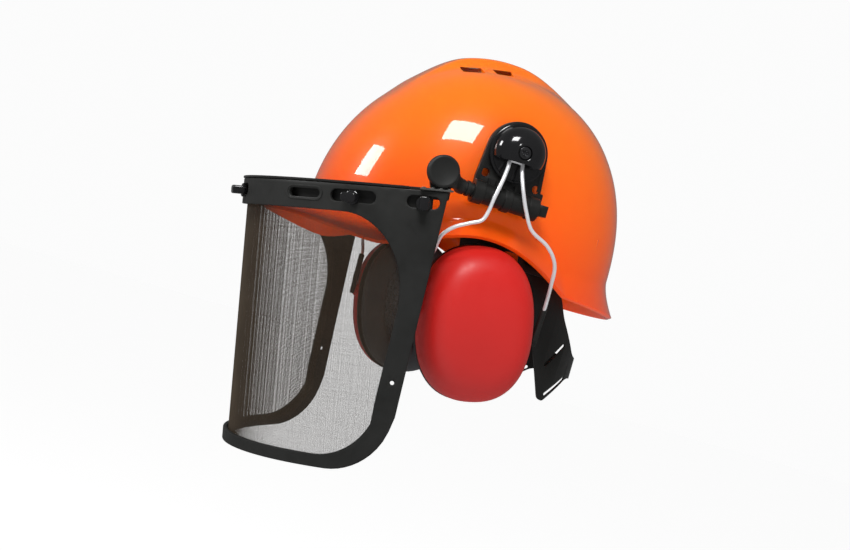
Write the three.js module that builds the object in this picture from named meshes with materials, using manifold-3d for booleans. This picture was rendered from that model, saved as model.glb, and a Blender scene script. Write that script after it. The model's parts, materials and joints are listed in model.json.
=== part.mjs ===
// Hard hat with a hinged mesh visor and two ear muffs, in millimetres.
// +Z is up, the wearer faces -Y and the wearer's left is +X. The origin is the centre of the wearer's
// head, midway between the ears, level with the lower edge of the shell over the ears.
import * as THREE from "three";
import { mergeVertices } from "three/addons/utils/BufferGeometryUtils.js";
import Module from "manifold-3d";

const wasm = await Module();
wasm.setup();

// ---------------------------------------------------------------- driving dimensions
const CLEARANCE = 0.35;              // gap between pieces that touch or turn on each other

const SHELL = {
  wall: 3,
  halfWidth: 106,                    // dome at its foot
  front: 118.5,
  rear: 123,
  height: 132,                       // dome without the ridge
  sidePower: 2.9,                    // how square the dome's sides are
  brimHalfWidth: 114,
  peak: 151,                         // brim tip, forward of the origin
  tail: 136,                         // brim tip, behind the origin
  brimLevel: -22,                    // brim's lower edge away from the ears
  archTop: 0.6,                      // lower edge over the ears
  archMiddle: -6,
  archFront: 79,                     // length of the arch, forward of its middle
  archRear: 68,
};
const RIDGE = {
  height: 10.5,
  topHalfWidth: 27,
  footHalfWidth: 41,
  rearFootHalfWidth: 72,             // the ridge's sides run out into the dome towards the rear
  front: -80,
  rear: 88,
};
const VENT = { length: 16, height: 4.6, pitch: 24.5, rise: 5.6, first: -35.5, level: 124 };

const HUB = { y: -5, z: 65.5, radius: 21.5, base: 112.4 };
const WIRE_MOUTH = { front: -15.2, rear: 1.6, bottom: 50, top: 61 };   // opening under the hub
const ADAPTER = { inside: 108, outside: 112, bottom: 24 };
const BARREL = { x: 119, z: 30.5, radius: 7.5, bore: 5, front: -32, rear: 18 };

const HINGE = { y: -59, z: 35.5 };   // visor's hinge line, along X
const PADDLE = { inside: 128.6, outside: 134.4, radius: 11.5 };
const VISOR = {
  lean: THREE.MathUtils.degToRad(11.7),
  radius: 132,
  axis: 16.6,                        // visor's centre of curvature, behind the hinge
  top: 14.4,                         // distances below the hinge
  bottom: 214,
  halfGirth: 195.4,                  // along the curve, from the middle to the rear edge
  thickness: 3,
};
const CARRIER = { inside: 124, outside: 128, top: 12.2, bottom: 31 };
const SLOT_LEVEL = 22.5;
const STUD_GIRTHS = [-179, -129, 0, 129, 179];
const EMPTY_SLOT_GIRTHS = [-89, 89];

const CUP = {
  y: 2,
  z: -59.5,
  tilt: THREE.MathUtils.degToRad(12),
  base: 97,                          // rim plane of the red cup
  depth: 38,
  halfWidth: 41,
  halfHeight: 56,
  wall: 3,
};
const CUP_PIVOT = { x: 104, z: -59, radius: 5 };
const WIRE_RADIUS = 1.4;

const HEADBAND = { halfWidth: 81, halfLength: 101, middle: 3, thickness: 2, power: 2.2 };
const SWEATBAND = { thickness: 4.5, gap: 0.4, bottom: 15, top: 47 };
const NAPE = { halfWidth: 66.5, middle: 20, reach: 97, thickness: 2.2, power: 2.6 };
const NAPE_BUTTON = { y: 44, z: -3, radius: 2.8, travel: 8 };          // slides in the headband's slot
const CLIP = { angles: [38, 142, 218, 322], width: 18, top: 26.5 };    // angles from the front
const POCKET_TOP = 27;
const STRAP = { width: 20, thickness: 1.3, crown: 104, apart: 4, start: 47 };

// Divisions of the curved surfaces.
const SECTORS = 44;
const DOME_STEPS = 9;
const FLARE_STEPS = 2;
const RIDGE_STEPS = 12;
const BAND_SECTORS = 36;
const STRAP_STEPS = 18;

// ---------------------------------------------------------------- materials
function material(color, roughness, metalness = 0) {
  return new THREE.MeshStandardMaterial({ color, roughness, metalness });
}

const ORANGE_GLOSS = material("#f4701c", 0.22);
const RED_SATIN = material("#c8232a", 0.38);
const BLACK_GLOSS = material("#191919", 0.18);
const BLACK_SATIN = material("#2a2a28", 0.45);
const BLACK_MATTE = material("#2f302d", 0.7);
const BLACK_MESH = material("#1d1c1a", 0.6, 0.6);
const BLACK_VINYL = material("#202022", 0.55);
const BLACK_WEBBING = material("#26272a", 0.9);
const GREY_FOAM = material("#3b3d40", 0.95);
const STEEL = material("#c9ccce", 0.28, 1);
const DARK_STEEL = material("#3a3b3d", 0.35, 1);

// ---------------------------------------------------------------- solids and joins
const part = new THREE.Group();

function add(name, geometry, finish, parent = part) {
  const mesh = new THREE.Mesh(geometry, finish);
  mesh.name = name;
  parent.add(mesh);
}

/** Positions and triangles of a closed geometry, with shared corners joined and no flat triangles. */
function welded(geometry) {
  const bare = geometry.clone();
  bare.deleteAttribute("normal");
  bare.deleteAttribute("uv");
  const merged = mergeVertices(bare, 1e-4);
  const corners = merged.index.array;
  const triangles = [];
  for (let i = 0; i < corners.length; i += 3) {
    const [a, b, c] = corners.subarray(i, i + 3);
    if (a !== b && b !== c && c !== a) {
      triangles.push(a, b, c);
    }
  }
  return { positions: merged.attributes.position.array, triangles };
}

function solid(geometry) {
  const { positions, triangles } = welded(geometry);
  const vertProperties = Float32Array.from(positions);
  const triVerts = Uint32Array.from(triangles);
  return new wasm.Manifold(new wasm.Mesh({ numProp: 3, vertProperties, triVerts }));
}

function surface(manifold) {
  const { vertProperties, triVerts } = manifold.getMesh();
  const geometry = new THREE.BufferGeometry();
  geometry.setAttribute("position", new THREE.BufferAttribute(vertProperties, 3));
  geometry.setIndex(new THREE.BufferAttribute(triVerts, 1));
  geometry.computeVertexNormals();
  return geometry;
}

/** One solid out of several that overlap, less the ones that cut it. */
function joined(geometries, cuts = []) {
  let whole = solid(geometries[0]);
  for (const geometry of geometries.slice(1)) {
    whole = whole.add(solid(geometry));
  }
  for (const cut of cuts) {
    whole = whole.subtract(solid(cut));
  }
  return surface(whole);
}

function overlap(first, second, cuts = []) {
  let whole = solid(first).intersect(solid(second));
  for (const cut of cuts) {
    whole = whole.subtract(solid(cut));
  }
  return surface(whole);
}

/** The same piece for the other side of the hat. */
function mirrored(geometry) {
  const copy = geometry.clone();
  copy.scale(-1, 1, 1);
  const flipped = copy.index ? copy : mergeVertices(copy);
  const corners = flipped.index.array;
  for (let i = 0; i < corners.length; i += 3) {
    [corners[i], corners[i + 1]] = [corners[i + 1], corners[i]];
  }
  flipped.computeVertexNormals();
  return flipped;
}

/** Adds a left-hand piece and its mirror image. */
function addPair(name, geometry, finish, parent = part) {
  add(`${name}_left`, geometry, finish, parent);
  add(`${name}_right`, mirrored(geometry), finish, parent);
}

// ---------------------------------------------------------------- shapes
const X_AXIS = new THREE.Vector3(1, 0, 0);
const Y_AXIS = new THREE.Vector3(0, 1, 0);
const Z_AXIS = new THREE.Vector3(0, 0, 1);

function block(x0, x1, y0, y1, z0, z1) {
  const box = new THREE.BoxGeometry(x1 - x0, y1 - y0, z1 - z0);
  return box.translate((x0 + x1) / 2, (y0 + y1) / 2, (z0 + z1) / 2);
}

/** A shape drawn in (y, z), extruded from x0 to x1. */
function plate(shape, x0, x1, curveSegments = 10) {
  const settings = { depth: x1 - x0, bevelEnabled: false, curveSegments };
  const geometry = new THREE.ExtrudeGeometry(shape, settings);
  geometry.applyMatrix4(new THREE.Matrix4().makeBasis(Y_AXIS, Z_AXIS, X_AXIS));
  return geometry.translate(x0, 0, 0);
}

function polygon(points) {
  return new THREE.Shape(points.map(([y, z]) => new THREE.Vector2(y, z)));
}

function discX(radius, y, z, x0, x1, segments = 20) {
  const cylinder = new THREE.CylinderGeometry(radius, radius, x1 - x0, segments);
  return cylinder.rotateZ(-Math.PI / 2).translate((x0 + x1) / 2, y, z);
}

function rodY(radius, x, z, y0, y1, segments = 16) {
  const cylinder = new THREE.CylinderGeometry(radius, radius, y1 - y0, segments);
  return cylinder.translate(x, (y0 + y1) / 2, z);
}

function facesOut(positions, triangles) {
  const corner = (k) => new THREE.Vector3().fromArray(positions, 3 * triangles[k]);
  let volume = 0;
  for (let k = 0; k < triangles.length; k += 3) {
    volume += corner(k).dot(corner(k + 1).cross(corner(k + 2)));
  }
  return volume > 0;
}

/** A closed skin through rings of points. A ring of one point is a tip; looped skins have no ends. */
function skin(rings, looped = false) {
  const positions = [];
  const starts = [];
  for (const ring of rings) {
    starts.push(positions.length / 3);
    ring.forEach((point) => positions.push(...point));
  }
  const triangles = [];
  const bands = looped ? rings.length : rings.length - 1;
  for (let k = 0; k < bands; k += 1) {
    const next = (k + 1) % rings.length;
    const count = Math.max(rings[k].length, rings[next].length);
    for (let i = 0; i < count; i += 1) {
      const j = (i + 1) % count;
      if (rings[next].length > 1) {
        triangles.push(starts[k] + (rings[k].length > 1 ? i : 0), starts[next] + i, starts[next] + j);
      }
      if (rings[k].length > 1) {
        triangles.push(starts[k] + i, starts[next] + (rings[next].length > 1 ? j : 0), starts[k] + j);
      }
    }
  }
  const geometry = new THREE.BufferGeometry();
  geometry.setAttribute("position", new THREE.Float32BufferAttribute(positions, 3));
  geometry.setIndex(facesOut(positions, triangles) ? triangles : triangles.reverse());
  return geometry;
}

function middleOf(ring) {
  const sum = ring.reduce((total, point) => total.map((value, i) => value + point[i]), [0, 0, 0]);
  return sum.map((value) => value / ring.length);
}

/** A skin whose first and last rings are closed by flat ends. */
function capped(rings) {
  return skin([[middleOf(rings[0])], ...rings, [middleOf(rings.at(-1))]]);
}

/** Distance from the middle to a superellipse, in the direction (across, along). */
function reach(across, along, halfWidth, halfLength, power) {
  const sum = (Math.abs(across) / halfWidth) ** power + (Math.abs(along) / halfLength) ** power;
  return sum ** (-1 / power);
}

function smooth(value) {
  const t = THREE.MathUtils.clamp(value, 0, 1);
  return t * t * (3 - 2 * t);
}

// ---------------------------------------------------------------- shell
function brimLevel(y) {
  const offset = y - SHELL.archMiddle;
  const archLength = offset < 0 ? SHELL.archFront : SHELL.archRear;
  const inArch = Math.min(Math.abs(offset) / archLength, 1);
  const arch = Math.cos(inArch * Math.PI / 2) ** (offset < 0 ? 1.5 : 1);
  const peakLift = 6 * smooth((-85 - y) / 66);
  const tailDrop = -3 * smooth((y - 62) / 80);
  return SHELL.brimLevel + (SHELL.archTop - SHELL.brimLevel) * arch + peakLift + tailDrop;
}

/** Foot of the dome and edge of the brim, in one direction around the hat. */
function shellStation(angle) {
  const across = Math.sin(angle);
  const along = -Math.cos(angle);
  const isFront = along < 0;
  const domeLength = isFront ? SHELL.front : SHELL.rear;
  const brimLength = isFront ? SHELL.peak : SHELL.tail;
  const foot = reach(across, along, SHELL.halfWidth, domeLength, 2.2);
  const edge = reach(across, along, SHELL.brimHalfWidth, brimLength, 2.1);
  const edgeLevel = brimLevel(along * edge);
  const flare = THREE.MathUtils.lerp(13.5, isFront ? 24 : 27, along * along);
  const power = THREE.MathUtils.lerp(SHELL.sidePower, isFront ? 2 : 2.25, along * along);
  return { across, along, foot, edge, edgeLevel, footLevel: edgeLevel + flare, power };
}

/** A point of the outer surface, at 0 on the crown, 1 on the dome's foot and 2 on the brim's edge. */
function shellPoint(station, t) {
  const { across, along, foot, edge, edgeLevel, footLevel, power } = station;
  let radius;
  let level;
  if (t <= 1) {
    const lowest = Math.acos((Math.max(footLevel, 0) / SHELL.height) ** (power / 2));
    const turn = t * lowest;
    level = SHELL.height * Math.cos(turn) ** (2 / power) + t ** 8 * Math.min(footLevel, 0);
    radius = foot * Math.sin(turn) ** (2 / power);
  } else {
    const s = t - 1;
    const start = shellPoint(station, 1);
    radius = THREE.MathUtils.lerp(Math.hypot(start[0], start[1]), edge, s ** 1.5);
    level = THREE.MathUtils.lerp(footLevel, edgeLevel, s);
  }
  return [radius * across, radius * along, level];
}

/** The shell's point moved in from the outer surface by the wall's thickness. */
function wallPoint(angle, t, inset) {
  const step = 0.01;
  const here = new THREE.Vector3(...shellPoint(shellStation(angle), t));
  if (inset === 0) {
    return here.toArray();
  }
  const tangents = [[angle + step, t], [angle, t < 2 ? t + step : t - step]].map(([a, s]) =>
    new THREE.Vector3(...shellPoint(shellStation(a), s)).sub(here));
  const normal = tangents[1].cross(tangents[0]).normalize();
  const sign = t < 2 ? -1 : 1;
  return here.addScaledVector(normal, sign * inset).toArray();
}

function domeSolid(inset, floor) {
  const rings = [[[0, 0, SHELL.height - inset]]];
  for (let k = 1; k <= DOME_STEPS + FLARE_STEPS; k += 1) {
    const t = k <= DOME_STEPS ? k / DOME_STEPS : 1 + (k - DOME_STEPS) / FLARE_STEPS;
    const ring = [];
    for (let i = 0; i < SECTORS; i += 1) {
      ring.push(wallPoint((i / SECTORS) * 2 * Math.PI, t, inset));
    }
    rings.push(ring);
  }
  if (floor !== undefined) {
    rings.push(rings.at(-1).map(([x, y]) => [x, y, floor]));
  }
  rings.push([[0, 0, floor ?? SHELL.brimLevel]]);
  return skin(rings);
}

function domeLevel(x, y) {
  const squares = (x / SHELL.halfWidth) ** 2 + (y / (y < 0 ? SHELL.front : SHELL.rear)) ** 2;
  return SHELL.height * Math.sqrt(Math.max(0, 1 - squares));
}

function ridgeHeight(y) {
  const rise = smooth((y - RIDGE.front) / 42);
  const fall = 1 - smooth((y - 5) / (RIDGE.rear - 5)) * 0.95;
  return RIDGE.height * rise * fall;
}

function ridgeSolid(inset) {
  const rings = [];
  for (let k = 0; k <= RIDGE_STEPS; k += 1) {
    const y = THREE.MathUtils.lerp(RIDGE.front + inset, RIDGE.rear - inset, k / RIDGE_STEPS);
    const top = domeLevel(0, y) + ridgeHeight(y) - inset;
    const shoulder = RIDGE.topHalfWidth - inset * 0.6;
    const toRear = smooth(y / 60);
    const foot = THREE.MathUtils.lerp(RIDGE.footHalfWidth, RIDGE.rearFootHalfWidth, toRear) - inset * 1.3;
    const footLevel = Math.min(domeLevel(foot, y), top) - 2;
    const under = Math.min(domeLevel(0, y) - 14, footLevel - 6);
    rings.push([
      [foot, y, footLevel],
      [shoulder, y, top - 1.8],
      [shoulder / 2, y, top - 0.4],
      [-shoulder / 2, y, top - 0.4],
      [-shoulder, y, top - 1.8],
      [-foot, y, footLevel],
      [-foot, y, under],
      [foot, y, under],
    ]);
  }
  return capped(rings);
}

const shellCuts = [domeSolid(SHELL.wall, -80), ridgeSolid(SHELL.wall)];
for (const side of [-1, 1]) {
  for (const step of [0, 1]) {
    const vent = block(side * 36 - 9, side * 36 + 9, -VENT.length / 2, VENT.length / 2,
      -VENT.height / 2, VENT.height / 2);
    vent.rotateX(Math.atan2(VENT.rise, VENT.pitch));
    shellCuts.push(vent.translate(0, VENT.first + step * VENT.pitch, VENT.level + step * VENT.rise));
  }
  // slot over the ear that takes the adapter's tab
  shellCuts.push(block(side * 103 - 6, side * 103 + 6, HUB.y - 15.5, HUB.y + 15.5, 24.5, 29));
}

/** Moves a piece built for the direction +X around to an angle, where 0 is the front. */
function turned(geometry, degrees) {
  return geometry.clone().rotateZ(THREE.MathUtils.degToRad(degrees - 90));
}

/** Distance from the middle to the inside of the shell's wall, at the top of the clip pockets. */
function wallDistance(degrees) {
  const angle = THREE.MathUtils.degToRad(degrees);
  let t = 0.5;
  while (wallPoint(angle, t, SHELL.wall)[2] > POCKET_TOP) {
    t += 0.005;
  }
  const point = wallPoint(angle, t, SHELL.wall);
  return Math.hypot(point[0], point[1]);
}

// Pockets inside the shell, one for each harness clip.
const pockets = CLIP.angles.map((degrees) => {
  const wall = wallDistance(degrees);
  return turned(block(wall - 7.5, wall + 1.6, -13, 13, 13, POCKET_TOP), degrees);
});
const pocketSlots = CLIP.angles.map((degrees) => {
  const wall = wallDistance(degrees);
  const half = CLIP.width / 2 + CLEARANCE;
  return turned(block(wall - 5.2, wall - 1.4, -half, half, 5, POCKET_TOP + 1), degrees);
});

const hollowShell = joined([domeSolid(0), ridgeSolid(0)], shellCuts);
add("shell", joined([hollowShell, ...pockets], pocketSlots), ORANGE_GLOSS);

// ---------------------------------------------------------------- harness
/** An upright band of superellipse plan, drawn between two levels. */
function bandSheet({ halfWidth, halfLength, middle, thickness, power }, bottom, top) {
  const rings = [[0, top], [0, bottom], [thickness, bottom], [thickness, top]].map(([inset, z]) => {
    const ring = [];
    for (let i = 0; i < BAND_SECTORS; i += 1) {
      const angle = (i / BAND_SECTORS) * 2 * Math.PI;
      const across = Math.sin(angle);
      const along = -Math.cos(angle);
      const far = reach(across, along, halfWidth - inset, halfLength - inset, power);
      ring.push([far * across, middle + far * along, z]);
    }
    return ring;
  });
  return skin(rings, true);
}

const HEADBAND_SIDE = polygon([
  [-110, 16], [-40, 14], [26, 12], [30, -12], [58, -12], [62, 8], [112, 2],
  [112, 30], [60, 38], [0, 40], [-60, 44], [-110, 48],
]);
const slotReach = NAPE_BUTTON.travel + NAPE_BUTTON.radius + CLEARANCE;
const napeButtonSlot = block(-95, 95, NAPE_BUTTON.y - slotReach, NAPE_BUTTON.y + slotReach,
  NAPE_BUTTON.z - NAPE_BUTTON.radius - 0.8, NAPE_BUTTON.z + NAPE_BUTTON.radius + 0.8);
const headbandSheet = bandSheet(HEADBAND, -20, 52);
add("headband", overlap(headbandSheet, plate(HEADBAND_SIDE, -100, 100), [napeButtonSlot]), BLACK_SATIN);

const sweatbandInset = HEADBAND.thickness + SWEATBAND.gap;
const browSheet = bandSheet({
  ...HEADBAND,
  halfWidth: HEADBAND.halfWidth - sweatbandInset,
  halfLength: HEADBAND.halfLength - sweatbandInset,
  thickness: SWEATBAND.thickness,
}, SWEATBAND.bottom, SWEATBAND.top);
add("sweatband", overlap(browSheet, block(-100, 100, -120, -12, 0, 60)), BLACK_VINYL);

const napeSheet = bandSheet({ ...NAPE, halfLength: NAPE.reach }, -108, 12);
const NAPE_SIDE = polygon([
  [37, 7], [62, 7], [85, -36], [106, -62], [120, -64], [120, -80], [106, -79], [86, -101.5], [81, -100],
  [68, -71], [57, -42], [44, -16], [36, -6],
]);

/** A slot through both wings of the nape strap, from one point of its side view to another. */
function napeSlot(from, to, width) {
  const along = new THREE.Vector2(...to).sub(new THREE.Vector2(...from));
  const side = new THREE.Vector2(-along.y, along.x).setLength(width / 2);
  const [y0, z0] = from;
  const [y1, z1] = to;
  return plate(polygon([
    [y0 - side.x, z0 - side.y], [y1 - side.x, z1 - side.y],
    [y1 + side.x, z1 + side.y], [y0 + side.x, z0 + side.y],
  ]), -90, 90);
}

const napeSlots = [napeSlot([79, -75], [93, -55], 2.6), napeSlot([86.5, -96.4], [103, -79.6], 2.6)];
const napeButtons = [[62, 79], [-79, -62]].map(([x0, x1]) =>
  discX(NAPE_BUTTON.radius, NAPE_BUTTON.y, NAPE_BUTTON.z, x0, x1, 12));
const napeStrap = joined([overlap(napeSheet, plate(NAPE_SIDE, -100, 100)), ...napeButtons], napeSlots);
add("nape_strap", napeStrap, BLACK_SATIN);

/** A webbing strap over the head, between two opposite clips. */
function crownStrap(degrees, crown) {
  const front = stationOfClip(degrees).strap;
  const rear = stationOfClip(degrees + 180).strap;
  const direction = new THREE.Vector3().subVectors(rear, front).normalize();
  const across = new THREE.Vector3().crossVectors(Z_AXIS, direction).multiplyScalar(STRAP.width / 2);
  const points = Array.from({ length: STRAP_STEPS + 1 }, (_, k) => {
    const turn = (k / STRAP_STEPS) * Math.PI;
    const point = new THREE.Vector3().lerpVectors(front, rear, (1 - Math.cos(turn)) / 2);
    point.z = STRAP.start + (crown - STRAP.start) * Math.sin(turn) ** 0.8;
    return point;
  });
  return capped(points.map((point, k) => {
    const before = points[Math.max(0, k - 1)];
    const after = points[Math.min(points.length - 1, k + 1)];
    const tangent = new THREE.Vector3().subVectors(after, before).normalize();
    if (k === 0 || k === points.length - 1) {
      tangent.set(0, 0, k === 0 ? 1 : -1);
    }
    const out = new THREE.Vector3().crossVectors(tangent, across).setLength(STRAP.thickness / 2);
    return [
      point.clone().add(across).add(out),
      point.clone().sub(across).add(out),
      point.clone().sub(across).sub(out),
      point.clone().add(across).sub(out),
    ].map((corner) => corner.toArray());
  }));
}

function bandDistance(degrees) {
  const angle = THREE.MathUtils.degToRad(degrees);
  const along = -Math.cos(angle);
  // the band's middle is not the origin, so its distance is found by stepping out
  const { halfWidth, halfLength, middle, power } = HEADBAND;
  let far = 60;
  while (((Math.abs(far * Math.sin(angle)) / halfWidth) ** power
    + (Math.abs(far * along - middle) / halfLength) ** power) < 1) {
    far += 0.25;
  }
  return far;
}

function stationOfClip(degrees) {
  const angle = THREE.MathUtils.degToRad(degrees);
  const band = bandDistance(degrees) + 2.6;
  return {
    band,
    wall: wallDistance(degrees),
    strap: new THREE.Vector3(Math.sin(angle) * band, -Math.cos(angle) * band, STRAP.start),
  };
}

function clip(degrees) {
  const { band, wall } = stationOfClip(degrees);
  const outline = new THREE.Shape([
    [wall - 4.8, CLIP.top], [wall - 4.8, 11.5], [band + 1.5, 11.5], [band + 1.5, 46.3],
    [band - 1.2, 46.3], [band - 1.2, 8.5], [wall - 1.8, 8.5], [wall - 1.8, CLIP.top],
  ].map(([x, z]) => new THREE.Vector2(x, z)));
  const piece = new THREE.ExtrudeGeometry(outline, { depth: CLIP.width, bevelEnabled: false });
  piece.rotateX(Math.PI / 2).translate(0, CLIP.width / 2, 0);
  return turned(piece, degrees);
}

["front_left", "rear_left", "rear_right", "front_right"].forEach((place, k) => {
  add(`harness_clip_${place}`, clip(CLIP.angles[k]), BLACK_SATIN);
});
add("crown_strap_lower", crownStrap(38, STRAP.crown), BLACK_WEBBING);
add("crown_strap_upper", crownStrap(322, STRAP.crown + STRAP.apart), BLACK_WEBBING);

// ---------------------------------------------------------------- adapter and hub
const plateOutline = new THREE.Shape();
plateOutline.moveTo(-31, ADAPTER.bottom);
plateOutline.lineTo(22, ADAPTER.bottom);
plateOutline.lineTo(22.5, 44);
plateOutline.lineTo(HUB.y + 23, HUB.z + 2);
plateOutline.absarc(HUB.y, HUB.z, 23, 0.1, Math.PI - 0.1, false);
plateOutline.lineTo(-30.5, 42);
plateOutline.closePath();

const barrelCuts = [
  rodY(BARREL.bore, BARREL.x, BARREL.z, BARREL.front - 5, BARREL.rear + 5),
  discX(3, -24, 46, 100, 120, 14),
  discX(3, 16, 45, 100, 120, 14),
  discX(2.6, HUB.y, HUB.z, 100, 120, 14),
];
const collars = [[-32, -24], [-9, -3], [10, 18]].map(([y0, y1]) =>
  rodY(BARREL.radius + 1, BARREL.x, BARREL.z, y0, y1, 14));
const tab = block(98.5, ADAPTER.inside + 1, HUB.y - 15, HUB.y + 15, 25, 28.5);
const standOff = discX(12, HUB.y, HUB.z, 104.4, ADAPTER.inside + 1, 16);
addPair("adapter", joined([
  plate(plateOutline, ADAPTER.inside, ADAPTER.outside),
  rodY(BARREL.radius, BARREL.x, BARREL.z, BARREL.front, BARREL.rear, 14),
  ...collars,
  tab,
  standOff,
], barrelCuts), BLACK_SATIN);
addPair("barrel_cap", joined([
  block(115, 123, BARREL.rear + CLEARANCE, 25, 27, 35),
  rodY(BARREL.bore - 0.4, BARREL.x, BARREL.z, 12, BARREL.rear + 2, 14),
]), BLACK_SATIN);

const domeProfile = [
  [0, 0], [HUB.radius, 0], [HUB.radius, 3.4], [19.5, 4], [18.6, 8], [15.5, 12.6], [11, 15.8],
  [7.2, 17], [6.6, 17.6], [0, 17.6],
].map(([radius, x]) => new THREE.Vector2(radius, x));
const hubDome = new THREE.LatheGeometry(domeProfile, 24).rotateZ(-Math.PI / 2);
hubDome.translate(HUB.base, HUB.y, HUB.z);
addPair("hub_cap", joined([hubDome], [
  block(116.6, 132, -30, 20, 40, 56.8),
  block(118.6, 132, WIRE_MOUTH.front, WIRE_MOUTH.rear, WIRE_MOUTH.bottom, WIRE_MOUTH.top),
  discX(5.2, HUB.y, HUB.z, 127, 132, 20),
  discX(2.6, HUB.y, HUB.z, 110, 130, 14),
]), BLACK_GLOSS);
addPair("hub_screw", joined([
  discX(4.6, HUB.y, HUB.z, 127.4, 129.8, 20),
  discX(2.2, HUB.y, HUB.z, 108.5, 128, 12),
], [discX(2, HUB.y, HUB.z, 128.4, 131, 6)]), DARK_STEEL);

// ---------------------------------------------------------------- muffs
const BAIL_POINTS = [
  [104.5, -44.4, -36], [105, -44.4, -27], [115, -44.8, -17], [121.6, -44.6, -6.5], [125.4, -39, 1],
  [128.4, -29.5, 7], [129.8, -21.4, 12], [129.8, -17.6, 30], [128.6, -15, 43], [124, -12.6, 53.4],
  [121, -11.4, 58.4], [121, -8.6, 58.9], [121, -5, 58.9], [121, -2.4, 58.4], [123.8, -1.8, 53],
  [129.4, 1.2, 40], [130, 7.6, 26.3], [130, 15.2, 15], [129.6, 29.2, 8], [128, 37.1, 1.2],
  [125, 41.6, -6], [119, 44.6, -18], [112, 47.4, -28], [108, 48.8, -37], [105, 49.4, -44],
];

/** The stretch of the bail's wire between two of its points. */
function bailWire(radius, points, steps) {
  const curve = new THREE.CatmullRomCurve3(points.map((point) => new THREE.Vector3(...point)), false,
    "centripetal");
  const section = new THREE.Shape().absarc(0, 0, radius, 0, 2 * Math.PI, false);
  return new THREE.ExtrudeGeometry(section, { steps, curveSegments: 3, extrudePath: curve });
}

addPair("wire_bail", surface(solid(bailWire(WIRE_RADIUS, BAIL_POINTS, 52))), STEEL);

/** A sleeve on a wire end, flattened into an arm whose pin enters the cup's boss. */
function yokeArm(top, wireEnd, side) {
  const inner = side > 0 ? 46.4 : -42.6;
  const outer = side > 0 ? 51 : -45.1;
  const [y0, y1] = [Math.min(inner, outer), Math.max(inner, outer)];
  const pinInner = inner - side * 4.2;
  const arm = capped([
    [top[0], top[1], top[2], 3.1, 2.4],
    [top[0] - 1.4, top[1], top[2] - 10, 3.1, 2.2],
    [CUP_PIVOT.x, (y0 + y1) / 2, CUP_PIVOT.z, 4.2, (y1 - y0) / 2],
    [CUP_PIVOT.x, (y0 + y1) / 2, CUP_PIVOT.z - 4, 2.4, (y1 - y0) / 2],
  ].map(([x, y, z, halfX, halfY]) => [
    [x + halfX, y - halfY, z],
    [x + halfX, y + halfY, z],
    [x - halfX, y + halfY, z],
    [x - halfX, y - halfY, z],
  ]));
  const [pinStart, pinEnd] = [pinInner, inner + side].sort((a, b) => a - b);
  const pin = rodY(2, CUP_PIVOT.x, CUP_PIVOT.z, pinStart, pinEnd, 12);
  return joined([arm, pin], [bailWire(WIRE_RADIUS + CLEARANCE, wireEnd, 8)]);
}

const frontEnd = BAIL_POINTS.slice(0, 3);
addPair("yoke_arm_front", yokeArm([104.6, -44.4, -29], frontEnd, -1), BLACK_MATTE);
addPair("yoke_arm_rear", yokeArm([107.4, 48.9, -33.5], BAIL_POINTS.slice(-4), 1), BLACK_MATTE);

/** An oval ring of the muff in its rim plane. */
function oval(halfWidth, halfHeight, x, sectors = 24) {
  const ring = [];
  for (let i = 0; i < sectors; i += 1) {
    const angle = (i / sectors) * 2 * Math.PI;
    const across = Math.cos(angle);
    const up = Math.sin(angle);
    const far = reach(across, up, halfWidth, halfHeight, 2.35);
    const y = far * across;
    const z = far * up;
    const cos = Math.cos(CUP.tilt);
    const sin = Math.sin(CUP.tilt);
    ring.push([x, CUP.y + y * cos - z * sin, CUP.z + y * sin + z * cos]);
  }
  return ring;
}

function cupBody(inset, start) {
  const profile = [[0, 1], [0.3, 1], [0.56, 0.965], [0.76, 0.89], [0.9, 0.77], [0.97, 0.6], [1, 0.35]];
  const rings = profile.map(([share, scale]) => oval(
    CUP.halfWidth * scale - inset, CUP.halfHeight * scale - inset,
    (share === 0 ? start : CUP.base + share * CUP.depth - inset)));
  return capped(rings);
}

const bosses = [
  rodY(CUP_PIVOT.radius, CUP_PIVOT.x, CUP_PIVOT.z, -42.2, -33, 14),
  rodY(CUP_PIVOT.radius, CUP_PIVOT.x, CUP_PIVOT.z, 36, 46, 14),
];
const bossBores = [
  rodY(2.4, CUP_PIVOT.x, CUP_PIVOT.z, -50, -38, 12),
  rodY(2.4, CUP_PIVOT.x, CUP_PIVOT.z, 41.8, 50, 12),
];
addPair("cup_shell", joined([cupBody(0, CUP.base), ...bosses], [
  cupBody(CUP.wall, CUP.base - 1),
  ...bossBores,
]), RED_SATIN);

function ovalRing(outer, inner, x0, x1, bulge = 0) {
  const rings = [
    oval(outer[0] - bulge, outer[1] - bulge, x1),
    oval(outer[0], outer[1], (x0 + x1) / 2),
    oval(outer[0] - bulge, outer[1] - bulge, x0),
    oval(inner[0] + bulge, inner[1] + bulge, x0),
    oval(inner[0], inner[1], (x0 + x1) / 2),
    oval(inner[0] + bulge, inner[1] + bulge, x1),
  ];
  return skin(rings, true);
}

addPair("cup_back_plate", ovalRing([41.5, 56.5], [22, 36], 92.6, 96.6), BLACK_SATIN);
addPair("ear_cushion", ovalRing([40, 55], [20, 34], 80, 92.2, 3), BLACK_VINYL);
addPair("cup_foam", capped([oval(34, 49, 97.4), oval(34, 49, 106), oval(30, 44, 113)]), GREY_FOAM);

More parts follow.
